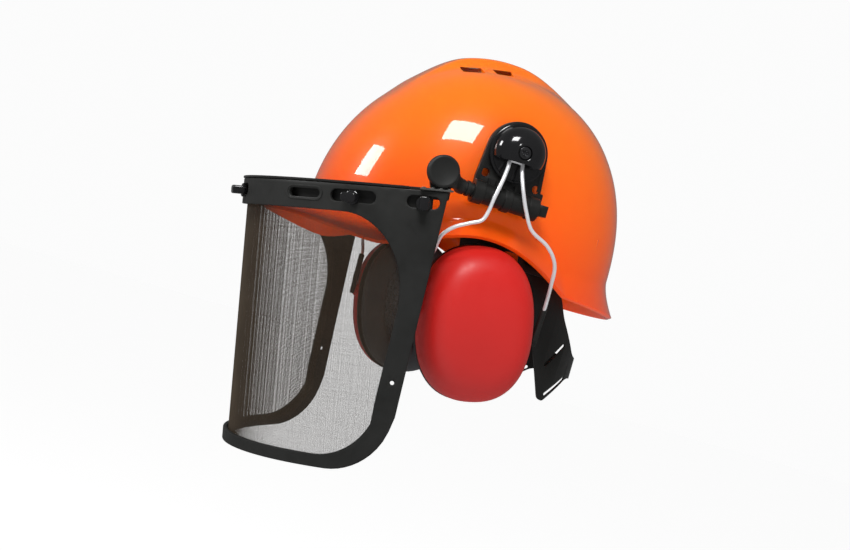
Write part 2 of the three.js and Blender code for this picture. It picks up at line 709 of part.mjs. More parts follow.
// ---------------------------------------------------------------- visor
addPair("visor_arm", joined([
  rodY(BARREL.bore - 0.4, BARREL.x, BARREL.z, -46, 8, 14),
  discX(PADDLE.radius, HINGE.y, HINGE.z, PADDLE.inside, PADDLE.outside, 28),
  capped([
    [-54, 131.4, 34.5, 2.5, 9.5],
    [-49.4, 131.2, 33.2, 2.5, 7.4],
    [-44, 122.5, 31, 5.4, 6],
    [-40, BARREL.x, BARREL.z, 5.6, 5.6],
  ].map(([y, x, z, halfX, halfZ]) => [
    [x + halfX, y, z + halfZ],
    [x - halfX, y, z + halfZ],
    [x - halfX, y, z - halfZ],
    [x + halfX, y, z - halfZ],
  ])),
], [discX(3.4, HINGE.y, HINGE.z, 126, 131.5, 16)]), BLACK_MATTE);

const visor = new THREE.Group();
visor.position.set(0, HINGE.y, HINGE.z);
visor.rotation.x = VISOR.lean;
part.add(visor);

/** A point of the visor, by its distance around the curve, below the hinge and from the curve's axis. */
function visorPoint(girth, drop, radius) {
  const angle = girth / VISOR.radius;
  return [radius * Math.sin(angle), VISOR.axis - radius * Math.cos(angle), -drop];
}

/** A curved wall between two radii, whose top and bottom edges follow the girth. */
function curvedWall(limit, inner, outer, top, bottom, steps = 30) {
  const rings = [];
  for (let k = 0; k <= steps; k += 1) {
    const girth = limit * Math.sin(((k / steps) * 2 - 1) * Math.PI / 2);
    const far = Math.abs(girth);
    rings.push([
      visorPoint(girth, top(far), inner),
      visorPoint(girth, top(far), outer),
      visorPoint(girth, bottom(far), outer),
      visorPoint(girth, bottom(far), inner),
    ]);
  }
  return capped(rings);
}

function frameBottom(girth) {
  const corner = { girth: 125, drop: 167, radius: 47 };
  if (girth < corner.girth) {
    return VISOR.bottom;
  }
  const side = 14 + (VISOR.halfGirth + 0.5 - girth) * 6.8;
  const round = corner.drop + Math.sqrt(Math.max(0, corner.radius ** 2 - (girth - corner.girth) ** 2));
  return girth < corner.girth + corner.radius - 1 ? Math.min(side, round) : side;
}

function windowTop(girth) {
  const corner = { girth: 122, drop: 86.5, across: 46, down: 53 };
  const share = THREE.MathUtils.clamp((girth - corner.girth) / corner.across, 0, 1);
  return corner.drop - corner.down * Math.sqrt(1 - share ** 2);
}

function windowBottom(girth) {
  const corner = { girth: 114, drop: 160, across: 46, down: 45 };
  const share = THREE.MathUtils.clamp((girth - corner.girth) / corner.across, 0, 1);
  const round = corner.drop + corner.down * Math.sqrt(1 - share ** 2);
  return girth > 157 ? Math.min(round, 160 - (girth - 158) * 6.4) : round;
}

function visorSlot(girth, length, height, inner, outer) {
  const outline = new THREE.Shape();
  const straight = (length - height) / 2;
  outline.absarc(straight, 0, height / 2, -Math.PI / 2, Math.PI / 2, false);
  outline.absarc(-straight, 0, height / 2, Math.PI / 2, Math.PI * 1.5, false);
  const settings = { depth: outer - inner, bevelEnabled: false, curveSegments: 3 };
  const slot = new THREE.ExtrudeGeometry(outline, settings);
  slot.rotateX(Math.PI / 2).translate(0, -inner, 0);
  slot.rotateZ(girth / VISOR.radius);
  return slot.translate(0, VISOR.axis, -SLOT_LEVEL);
}

const frameOuter = VISOR.radius + VISOR.thickness / 2;
const frameInner = VISOR.radius - VISOR.thickness / 2;
const studSlots = STUD_GIRTHS.map((girth) =>
  visorSlot(girth, Math.abs(girth) === 129 ? 34 : 23, 8.6, 120, 145));
const emptySlots = EMPTY_SLOT_GIRTHS.map((girth) => visorSlot(girth, 28, 6.2, 120, 145));
const cornerHoles = [-168.3, 168.3].map((girth) => {
  const hole = new THREE.CylinderGeometry(1.5, 1.5, 30, 8);
  return hole.translate(0, -VISOR.radius, 0).rotateZ(girth / VISOR.radius).translate(0, VISOR.axis, -149.3);
});
add("visor_frame", joined([
  curvedWall(VISOR.halfGirth, frameInner, frameOuter, () => VISOR.top, frameBottom, 26),
], [
  curvedWall(168, 120, 145, windowTop, windowBottom, 26),
  ...studSlots,
  ...emptySlots,
  ...cornerHoles,
]), BLACK_MATTE, visor);

const meshOuter = frameInner - 0.8;
const grown = 5;
add("visor_mesh", curvedWall(172.5, meshOuter - 0.7, meshOuter,
  (girth) => windowTop(girth - grown) - grown + 1, (girth) => windowBottom(girth - grown) + grown, 28),
  BLACK_MESH, visor);

const leftLug = [discX(9, 0, 0, 124.4, 128.2, 20), block(124.4, 127.4, -5.4, 7, -20, 0)];
const lugs = [...leftLug, ...leftLug.map(mirrored)];
const hingeBores = [-1, 1].map((side) => discX(2.9, 0, 0, side * 126 - 4, side * 126 + 4, 14));
add("visor_carrier", joined([
  curvedWall(186, CARRIER.inside, CARRIER.outside, () => CARRIER.top, () => CARRIER.bottom, 20),
  curvedWall(168, CARRIER.inside, frameOuter + 0.6, () => CARRIER.top, () => CARRIER.top + 1.7, 20),
  ...lugs,
], hingeBores), BLACK_SATIN, visor);

const bracketRibs = [0, 1, 2, 3].map((k) => block(128.5, 134.2, -14 + k * 6, -12 + k * 6, -13, -11.9));
addPair("carrier_bracket", joined([block(128.5, 134.2, -15, 8, -14, -12.7), ...bracketRibs]),
  BLACK_SATIN, visor);

addPair("hinge_pin", joined([
  discX(2.5, 0, 0, 122.6, 131.1, 14),
  discX(4.6, 0, 0, 122.4, 124, 16),
]), DARK_STEEL, visor);

STUD_GIRTHS.forEach((girth, k) => {
  const stud = joined([
    block(-4.2, 4.2, -134.4, -(CARRIER.outside + CLEARANCE), -3.2, 3.2),
    block(-5, 5, -143.6, -134, -5.6, 3.6),
  ]);
  stud.rotateZ(girth / VISOR.radius).translate(0, VISOR.axis, -SLOT_LEVEL);
  add(`visor_stud_${k + 1}`, stud, BLACK_SATIN, visor);
});

export default part;
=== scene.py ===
"""Hard hat with a hinged mesh visor and two ear muffs: the looks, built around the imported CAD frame.

Helpers and shapes are in millimetres and are scaled to metres where a mesh is made.
"""
import json
import random
from functools import cached_property
from math import acos, atan2, copysign, cos, exp, hypot, pi, radians, sin, sqrt
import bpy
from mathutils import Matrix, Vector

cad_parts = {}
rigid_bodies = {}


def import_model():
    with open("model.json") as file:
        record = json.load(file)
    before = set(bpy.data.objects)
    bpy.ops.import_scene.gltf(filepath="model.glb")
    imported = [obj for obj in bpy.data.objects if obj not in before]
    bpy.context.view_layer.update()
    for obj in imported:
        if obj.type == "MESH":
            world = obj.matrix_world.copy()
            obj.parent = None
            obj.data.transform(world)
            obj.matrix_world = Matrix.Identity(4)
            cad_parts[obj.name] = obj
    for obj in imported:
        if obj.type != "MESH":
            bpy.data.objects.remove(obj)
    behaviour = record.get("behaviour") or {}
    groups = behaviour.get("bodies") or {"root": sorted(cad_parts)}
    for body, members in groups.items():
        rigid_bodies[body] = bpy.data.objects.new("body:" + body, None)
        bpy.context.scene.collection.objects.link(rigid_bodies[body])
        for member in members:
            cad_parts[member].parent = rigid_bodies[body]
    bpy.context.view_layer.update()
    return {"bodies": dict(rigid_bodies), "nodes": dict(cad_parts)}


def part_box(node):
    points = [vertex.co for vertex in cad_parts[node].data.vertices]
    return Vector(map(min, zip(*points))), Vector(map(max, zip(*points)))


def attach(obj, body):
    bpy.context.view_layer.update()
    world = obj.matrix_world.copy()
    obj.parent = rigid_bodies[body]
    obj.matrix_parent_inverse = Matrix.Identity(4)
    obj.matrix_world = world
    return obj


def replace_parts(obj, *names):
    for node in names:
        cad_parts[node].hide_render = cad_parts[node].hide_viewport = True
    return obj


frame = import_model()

from types import SimpleNamespace as Sizes

import bmesh
import bpy
from mathutils import Matrix, Vector

MM = 0.001
SEED = 7

# --- driving dimensions, as in the CAD, but with the ear arch about 1 mm higher and wider
SHELL = Sizes(wall=3, half_width=106, front=118.5, rear=123, height=132, side_power=2.9,
             brim_half_width=114, peak=151, tail=136, brim_level=-22, arch_top=1.8,
             arch_middle=-6, arch_front=79, arch_rear=69.5)
RIDGE = Sizes(height=10.5, top=27, foot=41, rear_foot=72, front=-80, rear=88)
VENT = Sizes(length=16, height=4.6, pitch=24.5, rise=5.6, first=-35.5, level=124, across=36)
POCKET_TOP = 27
CLIP_ANGLES = (38, 142, 218, 322)

HUB = Sizes(y=-5, z=65.5, base=112.4)
BARREL = Sizes(x=119, z=30.5, radius=7.5, bore=5)
HINGE = (0, -59, 35.5)
VISOR = Sizes(lean=11.7, radius=132, axis=16.6, top=14.4, bottom=214, half_girth=195.4, thickness=3)
MESH = Sizes(pitch=0.55, wire=0.093, middle=129.3, girth=171.5)
CARRIER = Sizes(inside=124, outside=128, top=12.2, bottom=31)
SLOT_LEVEL = 22.5
STRIP = 3  # width of a bent plate's facets
STUD_GIRTHS = (-179, -129, 0, 129, 179)
STUD = Sizes(drop=23.5, inside=128.2, collar=134, outside=143.5)

CUP = Sizes(y=2, z=-59.5, tilt=12, base=97, depth=38, half_width=41, half_height=56, wall=3, sectors=96)
CUSHION_MIDDLE = 86.1
CUP_PIVOT = Sizes(x=104, z=-59)
HEADBAND = Sizes(half_width=81, half_length=101, middle=3, thickness=2, power=2.2)
NAPE = Sizes(half_width=66.5, half_length=97, middle=20, thickness=2.2, power=2.6)
SWEATBAND = Sizes(inset=2.4, depth=4.4, seam=0.74, half_angle=103)
STRAP_FOOT = 47


# --- numbers
def lerp(a, b, t):
    return a + (b - a) * t


def smooth(value):
    t = min(max(value, 0), 1)
    return t * t * (3 - 2 * t)


def reach(across, along, half_width, half_length, power):
    """Distance from the middle to a superellipse, in the direction (across, along)."""
    return ((abs(across) / half_width) ** power + (abs(along) / half_length) ** power) ** (-1 / power)


def signed_power(value, power):
    return copysign(abs(value) ** power, value)


def rounded(points, radius, steps=5):
    """A polygon with its corners turned into arcs."""
    result = []
    for k, corner in enumerate(points):
        here = Vector(corner)
        before = Vector(points[k - 1]) - here
        after = Vector(points[(k + 1) % len(points)]) - here
        cut = min(radius, before.length * 0.45, after.length * 0.45)
        start = here + before.normalized() * cut
        end = here + after.normalized() * cut
        for i in range(steps + 1):
            t = i / steps
            result.append(tuple(start * (1 - t) ** 2 + here * 2 * t * (1 - t) + end * t ** 2))
    return result


def turns(count):
    """The angles of equal steps round a full turn."""
    return [2 * pi * i / count for i in range(count)]


def circle(y, z, radius, count=32):
    return [(y + radius * cos(a), z + radius * sin(a)) for a in turns(count)]


def placed(outline, tilt, y, z):
    """An outline turned by an angle about its own origin, which is then put at (y, z)."""
    return [(y + u * cos(tilt) - v * sin(tilt), z + u * sin(tilt) + v * cos(tilt)) for u, v in outline]


def stadium(middle, level, length, height, count=10):
    """A slot's outline: two half circles joined by straight sides."""
    straight = (length - height) / 2
    outline = []
    for side, start in ((1, -pi / 2), (-1, pi / 2)):
        for i in range(count + 1):
            a = start + pi * i / count
            outline.append((middle + side * straight + height / 2 * cos(a),
                            level + height / 2 * sin(a)))
    return outline


def between(p, q, start, end, t):
    """The point at t on the line that is at p for start and at q for end."""
    return p * ((end - t) / (end - start)) + q * ((t - start) / (end - start))


def curve_through(points, steps):
    """A centripetal Catmull-Rom curve through the points."""
    knots = [Vector(p) for p in points]
    knots = [knots[0] * 2 - knots[1], *knots, knots[-1] * 2 - knots[-2]]
    result = []
    for k in range(1, len(knots) - 2):
        p = knots[k - 1:k + 3]
        at = [0]
        for j in range(3):
            at.append(at[j] + (p[j + 1] - p[j]).length ** 0.5)
        for i in range(steps):
            t = lerp(at[1], at[2], i / steps)
            a = [between(p[j], p[j + 1], at[j], at[j + 1], t) for j in range(3)]
            b = [between(a[j], a[j + 1], at[j], at[j + 2], t) for j in range(2)]
            result.append(between(*b, at[1], at[2], t))
    return result + [knots[-2]]


def tangent(path, k):
    return (path[min(k + 1, len(path) - 1)] - path[max(k - 1, 0)]).normalized()


# --- meshes
class Shape:
    """Points and faces in millimetres."""

    def __init__(self, points=(), faces=()):
        self.points = [tuple(p) for p in points]
        self.faces = [tuple(f) for f in faces]

    def __add__(self, other):
        start = len(self.points)
        return Shape(self.points + other.points,
                     self.faces + [tuple(i + start for i in f) for f in other.faces])

    def moved(self, matrix):
        return Shape([tuple(matrix @ Vector(p)) for p in self.points], self.faces)

    def mirrored(self):
        return Shape([(-x, y, z) for x, y, z in self.points], [tuple(reversed(f)) for f in self.faces])


def loft(rings, looped=False, capped=True):
    """A skin through rings of equally many points."""
    count = len(rings[0])
    points = [p for ring in rings for p in ring]
    faces = []
    bands = len(rings) if looped else len(rings) - 1
    for k in range(bands):
        a = k * count
        b = (k + 1) % len(rings) * count
        for i in range(count):
            j = (i + 1) % count
            faces.append((a + i, a + j, b + j, b + i))
    if capped and not looped:
        faces.append(tuple(reversed(range(count))))
        faces.append(tuple(range(len(points) - count, len(points))))
    return Shape(points, faces)


def box(x0, x1, y0, y1, z0, z1):
    ring = lambda z: [(x0, y0, z), (x1, y0, z), (x1, y1, z), (x0, y1, z)]
    return loft([ring(z0), ring(z1)])


def turned_x(profile, y, z, segments=64):
    """A body of revolution about an axis along X. The profile is (radius, x) from one end to the other."""
    return loft([[(x, y + r * cos(a), z + r * sin(a)) for a in turns(segments)] for r, x in profile])


def turned_y(profile, x, z, segments=40, looped=False):
    """The same about an axis along Y. A looped profile makes a ring."""
    return loft([[(x + r * sin(a), y, z + r * cos(a)) for a in turns(segments)]
                 for r, y in profile], looped)


def prism_x(outline, x0, x1):
    return loft([[(x, y, z) for y, z in outline] for x in (x0, x1)])


def sweep(path, radius, sides=12):
    """A round tube along a path, with softened ends."""
    path = [Vector(p) for p in path]
    normal = Vector((0, 0, 1))
    rings = []
    for k, point in enumerate(path):
        along = tangent(path, k)
        normal = (normal - along * normal.dot(along)).normalized()
        other = along.cross(normal)
        size = radius * (0.75 if k in (0, len(path) - 1) else 1)
        rings.append([point + (normal * cos(a) + other * sin(a)) * size for a in turns(sides)])
    return loft(rings)


def rounded_bar(stations, steps, sides, place):
    """A bar through stations of (x, y, z, half width, half height, squareness)."""
    path = curve_through([s[:3] for s in stations], steps)
    sizes = curve_through([s[3:] for s in stations], steps)
    return loft([[place(p, wide * signed_power(cos(a), power), high * signed_power(sin(a), power))
                  for a in turns(sides)] for p, (wide, high, power) in zip(path, sizes)])


def merged(mesh, distance):
    """A bmesh in which points closer than the distance are one."""
    bm = bmesh.new()
    bm.from_mesh(mesh)
    bmesh.ops.remove_doubles(bm, verts=bm.verts, dist=distance)
    return bm


def raw_mesh(name, shape):
    mesh = bpy.data.meshes.new(name)
    mesh.from_pydata([tuple(c * MM for c in p) for p in shape.points], [], shape.faces)
    return mesh


def to_mesh(name, shape):
    mesh = raw_mesh(name, shape)
    bm = merged(mesh, 1e-6)
    bmesh.ops.recalc_face_normals(bm, faces=bm.faces)
    bm.to_mesh(mesh)
    bm.free()
    return mesh


def configured(thing, **settings):
    for key, value in settings.items():
        setattr(thing, key, value)
    return thing


def new_object(name, data):
    obj = bpy.data.objects.new(name, data)
    bpy.context.collection.objects.link(obj)
    return obj


def modified(obj, kind, **settings):
    """Replaces the object's mesh by what a modifier makes of it."""
    configured(obj.modifiers.new(kind, kind), **settings)
    graph = bpy.context.evaluated_depsgraph_get()
    mesh = bpy.data.meshes.new_from_object(obj.evaluated_get(graph))
    obj.modifiers.clear()
    obj.data = mesh


def combine(obj, cutter, operation="DIFFERENCE"):
    """Cuts a shape out of the object, or keeps only what it shares with it."""
    tool = new_object("tool", to_mesh("tool", cutter))
    modified(obj, "BOOLEAN", operation=operation, solver="EXACT", object=tool)
    bpy.data.objects.remove(tool)


def soften(obj, width, segments=2, angle=35):
    """Rounds the sharp edges, by a width in millimetres."""
    modified(obj, "BEVEL", width=width * MM, segments=segments, limit_method="ANGLE",
             angle_limit=radians(angle))


def flat_plate(loops, thickness, bevel):
    """A plate with holes, drawn in its own plane, as a mesh about the middle of its thickness."""
    curve = configured(bpy.data.curves.new("plate", "CURVE"), dimensions="2D", fill_mode="BOTH",
                       extrude=thickness / 2 - bevel, bevel_depth=bevel, bevel_resolution=1, offset=-bevel)
    for loop in loops:
        spline = curve.splines.new("POLY")
        spline.points.add(len(loop) - 1)
        for point, (u, v) in zip(spline.points, loop):
            point.co = (u, v, 0, 1)
        spline.use_cyclic_u = True
    obj = new_object("plate", curve)
    mesh = bpy.data.meshes.new_from_object(obj)
    bpy.data.objects.remove(obj)
    return merged(mesh, 1e-4)


def shape_of(bm, place):
    """The bmesh's faces as a Shape, with each point sent through place(u, v, w)."""
    bm.verts.index_update()
    shape = Shape([place(*v.co) for v in bm.verts], [[v.index for v in f.verts] for f in bm.faces])
    bm.free()
    return shape


def plate_x(loops, x0, x1, bevel):
    """A plate drawn in (y, z), between two values of x."""
    middle = (x0 + x1) / 2
    return shape_of(flat_plate(loops, x1 - x0, bevel), lambda u, v, w: (middle + w, u, v))


# --- materials
def new_material(name, color, roughness, **extra):
    """Further inputs of the shader are named with underscores for spaces."""
    material = bpy.data.materials.new(name)
    material.use_nodes = True
    shader = material.node_tree.nodes["Principled BSDF"]
    for key, value in dict(Base_Color=(*color, 1), Roughness=roughness, **extra).items():
        shader.inputs[key.replace("_", " ").title().replace("Ior", "IOR")].default_value = value
    return material


class Nodes:
    """Short ways to add nodes to a material or a world."""

    def __init__(self, owner, shader="Principled BSDF"):
        self.owner = owner
        self.tree = owner.node_tree
        self.shader = self.tree.nodes[shader]

    @cached_property
    def place(self):
        return self.add("TexCoord").outputs["Object"]

    def add(self, kind, inputs=None, **settings):
        node = configured(self.tree.nodes.new("ShaderNode" + kind), **settings)
        for key, value in (inputs or {}).items():
            if isinstance(value, bpy.types.NodeSocket):
                self.tree.links.new(value, node.inputs[key])
            else:
                node.inputs[key].default_value = value
        return node

    def noise(self, scale, detail=4, rough=0.5, place=None):
        """Noise whose features are about 1/scale metres."""
        return self.add("TexNoise", {
            "Vector": place or self.place, "Scale": scale, "Detail": detail, "Roughness": rough,
        }).outputs["Fac"]

    def spread(self, value, low, high, start=0.3, end=0.7):
        """The value, with the range from start to end spread from low to high."""
        return self.add("MapRange", {
            "Value": value, "From Min": start, "From Max": end, "To Min": low, "To Max": high,
        }).outputs["Result"]

    def cells(self, scale, feature="F1"):
        return self.add("TexVoronoi", {"Vector": self.place, "Scale": scale}, feature=feature).outputs[0]

    def level(self):
        return self.add("SeparateXYZ", {"Vector": self.place}).outputs["Z"]

    def math(self, operation, a, b=0, clamp=False):
        return self.add("Math", {0: a, 1: b}, operation=operation, use_clamp=clamp).outputs[0]

    def set(self, key, socket):
        self.tree.links.new(socket, self.shader.inputs[key])

    def tint(self, fac, dark, light):
        """Makes the base colour a mix of two, by fac."""
        mix = self.add("Mix", {0: fac, 6: (*dark, 1), 7: (*light, 1)}, data_type="RGBA")
        self.set("Base Color", mix.outputs[2])

    def bump(self, height, distance, strength=1, keys=("Normal",)):
        """Bump of a height from 0 to 1, whose full depth is distance in millimetres."""
        node = self.add("Bump", {"Height": height, "Distance": distance * MM, "Strength": strength})
        for key in keys:
            self.set(key, node.outputs["Normal"])


def plastic(name, color, roughness, grain, grain_size=0.5, mottle=0.5, wear=0.25, **extra):
    """Moulded plastic: faint colour variation, a fine grain, uneven gloss and a few paler rubs."""
    n = Nodes(new_material(name, color, roughness, **extra))
    rubs = n.spread(n.noise(48, 8, 0.75), 0, wear, 0.6, 0.78)
    mixed = n.math("ADD", n.spread(n.noise(22, 3), 0, mottle), rubs, clamp=True)
    n.tint(mixed, color, [(c + 0.004) * 1.6 for c in color])
    n.set("Roughness", n.spread(n.noise(160, 6, 0.65), roughness * 0.85, roughness * 1.25))
    n.bump(n.noise(1000 / grain_size, 3, 0.6), grain)
    return n.owner


def shell_material():
    """Glossy orange moulded shell with a faint orange-peel surface, and painted shade: redder and darker
    towards the brim.
    """
    # Painted shade: low is the darker red painted on the brim, high the lit orange of the top.
    low, high = (0.72, 0.052, 0.004), (0.78, 0.15, 0.006)
    n = Nodes(new_material("orange gloss plastic", high, 0.32, Specular_IOR_Level=0.1, Coat_Weight=0.9,
                           Coat_IOR=1.42, Subsurface_Weight=0.3, Subsurface_Radius=(1, 0.25, 0.05),
                           Subsurface_Scale=0.005))
    # The tint by height is painted shade; the noise adds a little random tone.
    height = n.spread(n.level(), 0, 1, -0.03, 0.13)
    mixed = n.math("ADD", height, n.math("MULTIPLY", n.noise(9, 3), 0.12), clamp=True)
    n.tint(mixed, low, high)
    stretched = n.add("Mapping", {"Vector": n.place, "Scale": (1, 6, 14)}).outputs[0]
    n.set("Coat Roughness", n.spread(n.noise(45, 8, 0.7, stretched), 0.02, 0.09, 0.5, 0.75))
    n.bump(n.noise(240, 2), 0.012, keys=("Coat Normal", "Normal"))
    return n.owner


def vinyl_material():
    """Soft black vinyl with a leather-like grain."""
    color = (0.018, 0.018, 0.02)
    n = Nodes(new_material("black vinyl", color, 0.5))
    pores = n.math("MULTIPLY", n.cells(900), 0.4)
    creases = n.spread(n.cells(330, "DISTANCE_TO_EDGE"), 0, 0.6, 0, 0.06)
    n.bump(n.math("ADD", pores, creases), 0.12, 0.8)
    n.set("Roughness", n.spread(n.noise(70, 5), 0.38, 0.62))
    n.tint(n.noise(30, 4), color, (0.035, 0.035, 0.038))
    return n.owner


def webbing_material():
    """Woven polyester webbing. Its threads follow the strap's own coordinates, in metres."""
    n = Nodes(new_material("black webbing", (0.02, 0.02, 0.022), 0.85, Sheen_Weight=0.4,
                           Sheen_Roughness=0.4))
    along = n.add("UVMap", uv_map="strap").outputs["UV"]
    parts = n.add("SeparateXYZ", {"Vector": along}).outputs
    thread = 2 * pi / (1.1 * MM)
    warp = n.math("SINE", n.math("MULTIPLY", parts["X"], thread))
    weft = n.math("SINE", n.math("MULTIPLY", parts["Y"], thread * 0.75))
    height = n.spread(n.math("MULTIPLY", warp, weft), 0, 1, -1, 1)
    n.bump(height, 0.22)
    # Painted shade: the weave's hollows are darker than its crests.
    n.tint(height, (0.008, 0.008, 0.009), (0.045, 0.046, 0.05))
    return n.owner


def foam_material():
    n = Nodes(new_material("grey foam", (0.045, 0.047, 0.05), 0.95))
    pores = n.cells(700)
    n.bump(pores, 0.5)
    # Painted shade: the pores' pits are darker than the foam round them.
    n.tint(n.spread(pores, 0, 1, 0.1, 0.6), (0.015, 0.016, 0.017), (0.07, 0.073, 0.078))
    return n.owner


def steel(name, color, roughness, metallic=1):
    """Drawn or turned steel, with uneven polish and faint tarnish."""
    n = Nodes(new_material(name, color, roughness, Metallic=metallic))
    n.set("Roughness", n.spread(n.noise(350, 6, 0.6), roughness * 0.8, roughness * 1.3))
    n.tint(n.noise(60, 4), [c * 0.85 for c in color], color)
    n.bump(n.noise(2600, 3), 0.001)
    return n.owner


def cup_material():
    """Satin red plastic, with painted shade: a little darker towards the bottom."""
    low, high = (0.3, 0.009, 0.008), (0.52, 0.013, 0.01)
    n = Nodes(plastic("red satin plastic", high, 0.42, grain=0.02, grain_size=0.35, mottle=0, wear=0.1,
                      Specular_IOR_Level=0.28, Coat_Weight=0.06, Coat_Roughness=0.3))
    # Painted shade: the tint by height darkens the lower part of the cup; the noise adds a little random
    # tone.
    height = n.spread(n.level(), 0, 0.85, -0.115, 0)
    n.tint(n.math("ADD", height, n.math("MULTIPLY", n.noise(35, 4), 0.15)), low, high)
    return n.owner


# Each look is a slot of the CAD and the material that stands for it.
ORANGE = "orange_shell", shell_material()
RED = "red_cup", cup_material()
GLOSS = "black_gloss", plastic("black gloss plastic", (0.004, 0.004, 0.0045), 0.1, grain=0.004, wear=0.1)
SATIN = "black_satin", plastic(
    "black satin plastic", (0.005, 0.005, 0.0045), 0.38, 0.02, 0.4, Specular_IOR_Level=0.32)
GREY = "black_satin", plastic("grey satin plastic", (0.034, 0.034, 0.032), 0.4, grain=0.03, grain_size=0.4)
MATTE = "black_matte", plastic(
    "black matte plastic", (0.006, 0.0062, 0.0056), 0.5, 0.04, 0.45, Specular_IOR_Level=0.32)
PAINTED = "visor_wire", plastic(
    "painted wire", (0.03, 0.02, 0.011), 0.6, grain=0, wear=0, Specular_IOR_Level=0.3)
VINYL = "black_vinyl", vinyl_material()
WEBBING = "webbing", webbing_material()
FOAM = "foam", foam_material()
STEEL = "spring_wire", steel("spring steel wire", (0.78, 0.78, 0.8), 0.34, 0.5)
SCREW = "dark_screw", steel("blackened screw", (0.1, 0.1, 0.105), 0.32)
THREAD = "black_vinyl", plastic("dark thread", (0.05, 0.05, 0.055), 0.8, grain=0.1, grain_size=0.25, wear=0)


# --- placing pieces
SIDES = ("left", "right")
BODIES = {empty.name: name for name, empty in frame["bodies"].items()}


def body_name(node):
    parent = frame["nodes"][node].parent
    while parent.name not in BODIES:
        parent = parent.parent
    return BODIES[parent.name]


def dressed(obj, look, body, sharp=None):
    """Gives an object its look, and lets it ride on a body."""
    slot, material = look
    obj.data.materials.clear()
    obj.data.materials.append(material)
    if sharp:
        obj.data.shade_smooth()
        obj.data.set_sharp_from_angle(angle=radians(sharp))
    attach(obj, body)
    return obj


def shown(obj, look, node, sharp=38):
    """Finishes a piece that stands for a CAD node and rides on its body."""
    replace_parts(dressed(obj, look, body_name(node), sharp), node)
    return obj


def look_object(node, shape):
    return new_object(f"{node}_look", to_mesh(node, shape))


def piece(node, shape, look, sharp=38):
    return shown(look_object(node, shape), look, node, sharp)


def sided(shape, side):
    """A left-hand shape, or its mirror image."""
    return shape if side == "left" else shape.mirrored()


def pair(name, shape, look, sharp=38):
    for side in SIDES:
        piece(f"{name}_{side}", sided(shape, side), look, sharp)


def refined(node, look, bevel):
    """The CAD node's own solid with merged points, flat faces joined up and rounded edges."""
    bm = merged(frame["nodes"][node].data, 2e-6)
    bmesh.ops.dissolve_limit(bm, angle_limit=radians(1.5), verts=bm.verts, edges=bm.edges)
    mesh = bpy.data.meshes.new(node)
    bm.to_mesh(mesh)
    bm.free()
    obj = new_object(f"{node}_look", mesh)
    soften(obj, bevel, 3)
    shown(obj, look, node)


# --- shell
def brim_level(y):
    offset = y - SHELL.arch_middle
    length = SHELL.arch_front if offset < 0 else SHELL.arch_rear
    arch = cos(min(abs(offset) / length, 1) * pi / 2) ** (1.5 if offset < 0 else 1)
    rise = 6 * smooth((-85 - y) / 66) - 3 * smooth((y - 62) / 80)
    return SHELL.brim_level + (SHELL.arch_top - SHELL.brim_level) * arch + rise


def shell_point(angle, t):
    """A point of the outer surface: t is 0 on the crown, 1 on the dome's foot and 2 on the brim's edge."""
    across, along = sin(angle), -cos(angle)
    is_front = along < 0
    foot = reach(across, along, SHELL.half_width, SHELL.front if is_front else SHELL.rear, 2.2)
    edge = reach(across, along, SHELL.brim_half_width, SHELL.peak if is_front else SHELL.tail, 2.1)
    edge_level = brim_level(along * edge)
    foot_level = edge_level + lerp(13.5, 24 if is_front else 27, along * along)
    power = lerp(SHELL.side_power, 2 if is_front else 2.25, along * along)
    lowest = acos((max(foot_level, 0) / SHELL.height) ** (power / 2))
    turn = min(t, 1) * lowest
    level = SHELL.height * cos(turn) ** (2 / power) + min(t, 1) ** 8 * min(foot_level, 0)
    radius = foot * sin(turn) ** (2 / power)
    if t > 1:
        radius = lerp(radius, edge, (t - 1) ** 1.5)
        level = lerp(foot_level, edge_level, t - 1)
    return radius * across, radius * along, level


def dome_level(x, y):
    length = SHELL.front if y < 0 else SHELL.rear
    return SHELL.height * sqrt(max(0, 1 - (x / SHELL.half_width) ** 2 - (y / length) ** 2))


def ridge_lift(x, y, z):
    """How far the ridge over the crown stands above a point of the dome."""
    rise = smooth((y - RIDGE.front) / 42)
    fall = 1 - smooth((y - 5) / (RIDGE.rear - 5)) * 0.95
    top = dome_level(0, y) + RIDGE.height * rise * fall
    side = abs(x)
    foot = lerp(RIDGE.foot, RIDGE.rear_foot, smooth(y / 60))
    foot_level = min(dome_level(foot, y), top) - 2
    crown = top - 0.4 - 1.4 * (side / RIDGE.top) ** 2
    flank = lerp(top - 1.8, foot_level, (side - RIDGE.top) / (foot - RIDGE.top))
    flank -= 4 * max(0, side - foot)
    surface = 0.5 * (crown + flank - sqrt((crown - flank) ** 2 + 5))
    ends = smooth((y - RIDGE.front + 4) / 16) * smooth((RIDGE.rear + 4 - y) / 16)
    gap = surface - z - 0.6
    return ends * 0.5 * (gap + sqrt(gap * gap + 30))


def inner_distance(degrees):
    """Distance from the middle to the inside of the wall, at the level of the pockets' top."""
    t = 0.5
    while shell_point(radians(degrees), t)[2] > POCKET_TOP:
        t += 0.005
    return hypot(*shell_point(radians(degrees), t)[:2]) - SHELL.wall


